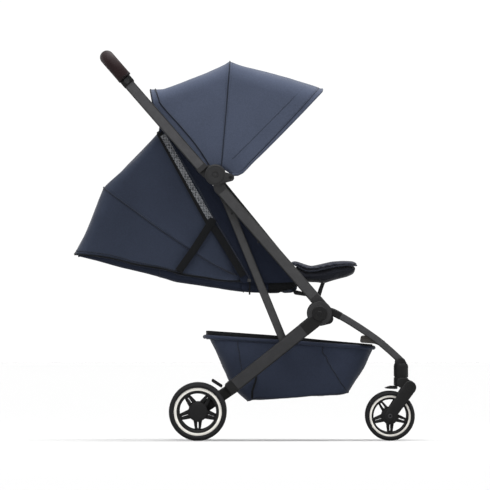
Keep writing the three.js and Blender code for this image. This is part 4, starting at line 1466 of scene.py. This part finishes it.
# ---- Padded pieces ----
def build_pads():
    across = [lambda p, at=at: p[0] - at for at in (52, 98)]
    ribs = [lambda p, at=at: p[0] - at for at in (-110, -200, -300)]
    ribs += [lambda p, at=at: p[1] - at for at in (75, -75)]
    for name, node, body, scale, seams, depth in (
        ("seat_pad_skin", "seat_pan", "frame", (0.96, 0.965, 0.8), across, 3.0),
        ("back_pad_skin", "backrest_pad", "backrest", (0.975, 0.965, 0.9), ribs, 3.2),
    ):
        pad = simulate_pad(shrink(copied(name, node), scale))
        dent(pad, seams, depth, 5)
        settle(pad, (SEAT_CLOTH, body, "seat_lining"))
        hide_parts(node)
        fold_flat(pad)


REST_TOP = [
    (122, 487), (142, 484), (162, 477), (180, 471.5), (206, 477), (236, 484), (266, 486), (292, 485),
    (304, 481),
]
REST_SEAM = [
    (124, 482), (141, 474), (160, 463), (172, 459.5), (191, 461), (218, 467), (247, 473.5), (276, 477),
    (304, 475),
]
REST_UNDER = [
    (128, 452), (150, 436), (175, 432.5), (196, 432), (214, 429), (230, 434.5), (251, 440.5), (277, 447),
    (295, 455), (301, 466),
]


def pad_between(name, over, under, half, rise, stations=29):
    """Closed pad from a line of (x, z) above and one below, its middle crowned by rise mm."""
    over, under = resample(over, 30), resample(under, 30)[::-1]
    points = []
    for y in np.linspace(-half, half, stations):
        edge = 1 - (abs(y) / half) ** 8
        for k, (line, way) in enumerate(((over, 1), (under, -1))):
            other = under[::-1] if k == 0 else over[::-1]
            middle = (line + other) / 2
            for (x, z), (_, level) in zip(line, middle):
                crown = rise * way * (1 - (y / half) ** 2)
                points.append((x, y, level + (z + crown - level) * max(edge, 0.12)))
    return skinned(name, points, 60, None)


def build_leg_rest():
    upper = pad_between("leg_rest_skin", REST_TOP, REST_SEAM, 128, 0.5)
    under = pad_between("leg_rest_under", REST_SEAM[1:-1] + [(300, 474)], REST_UNDER, 121, 0.0)
    for pad, cap, cloth in ((upper, 1.6, REST_TOP_CLOTH), (under, 2.6, REST_CLOTH)):
        simulate_pad(pad, voxel=4.0, pressure=2.0, cap=cap)
        settle(pad, (cloth, "leg_rest", "canopy_fabric"))
    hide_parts("leg_rest_pad")
    sides = [[(x, sign * 127.6, z - 0.6) for x, z in REST_SEAM] for sign in (1, -1)]
    path = smooth_line(
        sides[0] + [(303.5, 112, 475.5), (304, 0, 476), (303.5, -112, 475.5)] + sides[1][::-1], 130, 2,
    )
    piping = rope("leg_rest_piping", path, 1.5, (PIPING, "leg_rest", "canopy_fabric"))
    hang = strap(
        "leg_rest_strap", smooth_line([(213, -60, 431), (206, -62, 412), (201, -66, 396)], 20, 2),
        (0.45, 0.88, 0.15), 24, 1.8, (WEBBING, "leg_rest", "canopy_fabric"),
    )
    fold_flat(upper, under, piping, hang, anchor_n=36)


def build_seat_base():
    """Shallow cloth tray under the seat, navy behind and black in front."""
    pieces = []
    for name, x0, x1, cloth in (("seat_base_rear", -9, 64, TRAY), ("seat_base_front", 62.5, 140, WEBBING)):
        grid = []
        for x in np.linspace(x0, x1, 24):
            foot = np.interp(x, [-12, 60, 96, 128, 140], [404, 400, 403.5, 412, 420])
            top = np.interp(x, [-1, 66, 118, 140], [431, 434, 443, 436])
            corner = min((top - foot) * 0.7, 12)
            turns = np.linspace(0.3, math.pi / 2, 5)
            grid.append(trough(x, top, foot, TRAY_SIDE + 3, corner, turns, (top + foot + corner) / 2))
        grid = wrinkle(np.array(grid), 1.2, 45, 51)
        pieces.append(cloth_layer(name, grid, 1.6, (cloth, "frame", "seat_lining")))
        declare_sheet(grid)
    for label, sign in SIDES:
        body = hull(circle((138, 402), 6) + circle((164, 397), 5))
        pieces.append(
            slab(
                f"seat_adjuster_{label}", body, sign * 118, sign * 134, (BLACK, "frame", "seat_lining"),
                edge=1.6,
            )
        )
        web = [(126, sign * 126, 414), (131, sign * 126, 406), (140, sign * 126, 402)]
        pieces.append(
            strap(f"seat_adjuster_web_{label}", smooth_line(web, 12, 2), (0, 1, 0), 16, 1.6, SEAT_WEBBING)
        )
    fold_flat(*pieces)


# ---- Harness ----
def build_harness():
    slab(
        "harness_buckle_skin", rounded([(84.5, 437), (107.5, 437), (107.5, 473.5), (84.5, 473.5)], 6), -21.6,
        21.6, BUCKLE, edge=3.6,
    )
    rope("buckle_button_ring", [(107.6, y, z) for y, z in circle((0, 455), 10, 40)], 0.9, BUCKLE, closed=True)
    profile = [(8.8, 103.4), (8.8, 108.4), (7.8, 109.2), (5.0, 108.9), (2.0, 108.6)]
    points = [(x, y, z) for r, x in profile for y, z in circle((0, 455), r, 40)]
    settle(skinned("buckle_button_skin", points, 40, 35), (HINGE, "buckle_button", "button_metal"))
    pieces = []
    for label, sign in SIDES:
        hip = [
            (100, sign * 20, 446), (92, sign * 42, 442), (66, sign * 78, 441.5), (34, sign * 108, 442),
            (14, sign * 122, 446),
        ]
        pieces.append(
            strap(
                f"hip_strap_{label}", smooth_line(hip, 40, 4), (0.55, sign * 0.8, 0.1), 20, 1.5, SEAT_WEBBING,
            )
        )
    crotch = [(88, 0, 438), (70, 0, 439), (52, 0, 437.5)]
    pieces.append(strap("crotch_strap", resample(crotch, 14), (0, 1, 0), 24, 1.8, SEAT_WEBBING))
    for label, sign in SIDES:
        x_line = np.linspace(-330, -30, 40)
        z_line = np.interp(x_line, [-434, -254, -196, -12], [531, 497, 478, 447]) + 3.2
        y_line = sign * np.interp(x_line, [-330, -180, -30], [52, 46, 62])
        path = np.stack([x_line, y_line, z_line], 1)
        pieces.append(
            strap(f"shoulder_strap_{label}", path, (0, 1, 0), 24, 1.6, (WEBBING, "backrest", "seat_lining"))
        )
        pad_path = path[4:24] + np.array([0, 0, 3.4])
        pad = strap(
            f"shoulder_pad_{label}", pad_path, (0, 1, 0), 40, 6.0, (SEAT_CLOTH, "backrest", "seat_lining"),
        )
        pieces.append(pad)
    fold_flat(*pieces)


build_canopy()
build_hood()
build_tray()
build_seat_sides()
build_basket()
build_pads()
build_leg_rest()
build_seat_base()
build_harness()


# ---- Floor, light and camera ----
HORIZON, OVERHEAD = 1.04, 4.6  # sky brightness level with the object and over it
CAMERA, LENS = (0, -60, 0.531), 1620  # far off with a long lens, as the photograph is almost flat
FLOOR_PALE = (0.468, 0.468, 0.468)


def build_stage():
    scene = bpy.context.scene
    scene.view_settings.view_transform = "Standard"
    world = scene.world or bpy.data.worlds.new("studio")
    scene.world = world
    world.use_nodes = True
    tree = world.node_tree
    background = tree.nodes["Background"]
    background.inputs["Color"].default_value = (1, 1, 1, 1)
    height = tree.nodes.new("ShaderNodeSeparateXYZ")
    tree.links.new(tree.nodes.new("ShaderNodeTexCoord").outputs["Generated"], height.inputs[0])
    ramp = tree.nodes.new("ShaderNodeValToRGB")
    ramp.color_ramp.elements[0].position = 0.10
    ramp.color_ramp.elements[1].position = 1.0
    ramp.color_ramp.elements[0].color = (*(HORIZON / OVERHEAD,) * 3, 1)
    ramp.color_ramp.elements[1].color = (1, 1, 1, 1)
    for at, value in ((0.24, 0.45), (0.62, 0.6), (0.8, 3.0)):
        ramp.color_ramp.elements.new(at).color = (*(value / OVERHEAD,) * 3, 1)
    strength = tree.nodes.new("ShaderNodeMath")
    strength.operation = "MULTIPLY"
    strength.inputs[1].default_value = OVERHEAD
    tree.links.new(height.outputs["Z"], ramp.inputs["Fac"])
    tree.links.new(ramp.outputs["Color"], strength.inputs[0])
    tree.links.new(strength.outputs[0], background.inputs["Strength"])
    floor = bpy.data.meshes.new("floor")
    floor.from_pydata([(-40, -30, 0), (40, -30, 0), (40, 40, 0), (-40, 40, 0)], [], [(0, 1, 2, 3)])
    ground = linked("floor", floor)
    floor.materials.append(Nodes("floor_pale", FLOOR_PALE, 0.9).material)
    for name, place, aim, size, power in (
        ("key", (-0.9, -2.6, 4.2), (0, 0, 0.55), 2.2, 40),
        ("fill", (3.4, -1.6, 2.2), (0.05, 0, 0.5), 2.0, 16),
        ("rim", (0.6, 2.6, 3.4), (0, 0, 0.6), 2.2, 30),
    ):
        data = bpy.data.lights.new(name, "AREA")
        data.shape = "DISK"
        data.size = size
        data.energy = power
        lamp = linked(name, data)
        lamp.location = place
        lamp.rotation_euler = (Vector(aim) - Vector(place)).to_track_quat("-Z", "Y").to_euler()
    data = bpy.data.cameras.new("camera")
    data.lens, data.clip_end = LENS, 400
    camera = linked("camera", data)
    camera.location = CAMERA
    camera.rotation_euler = (math.pi / 2, 0, 0)
    scene.camera = camera


build_stage()
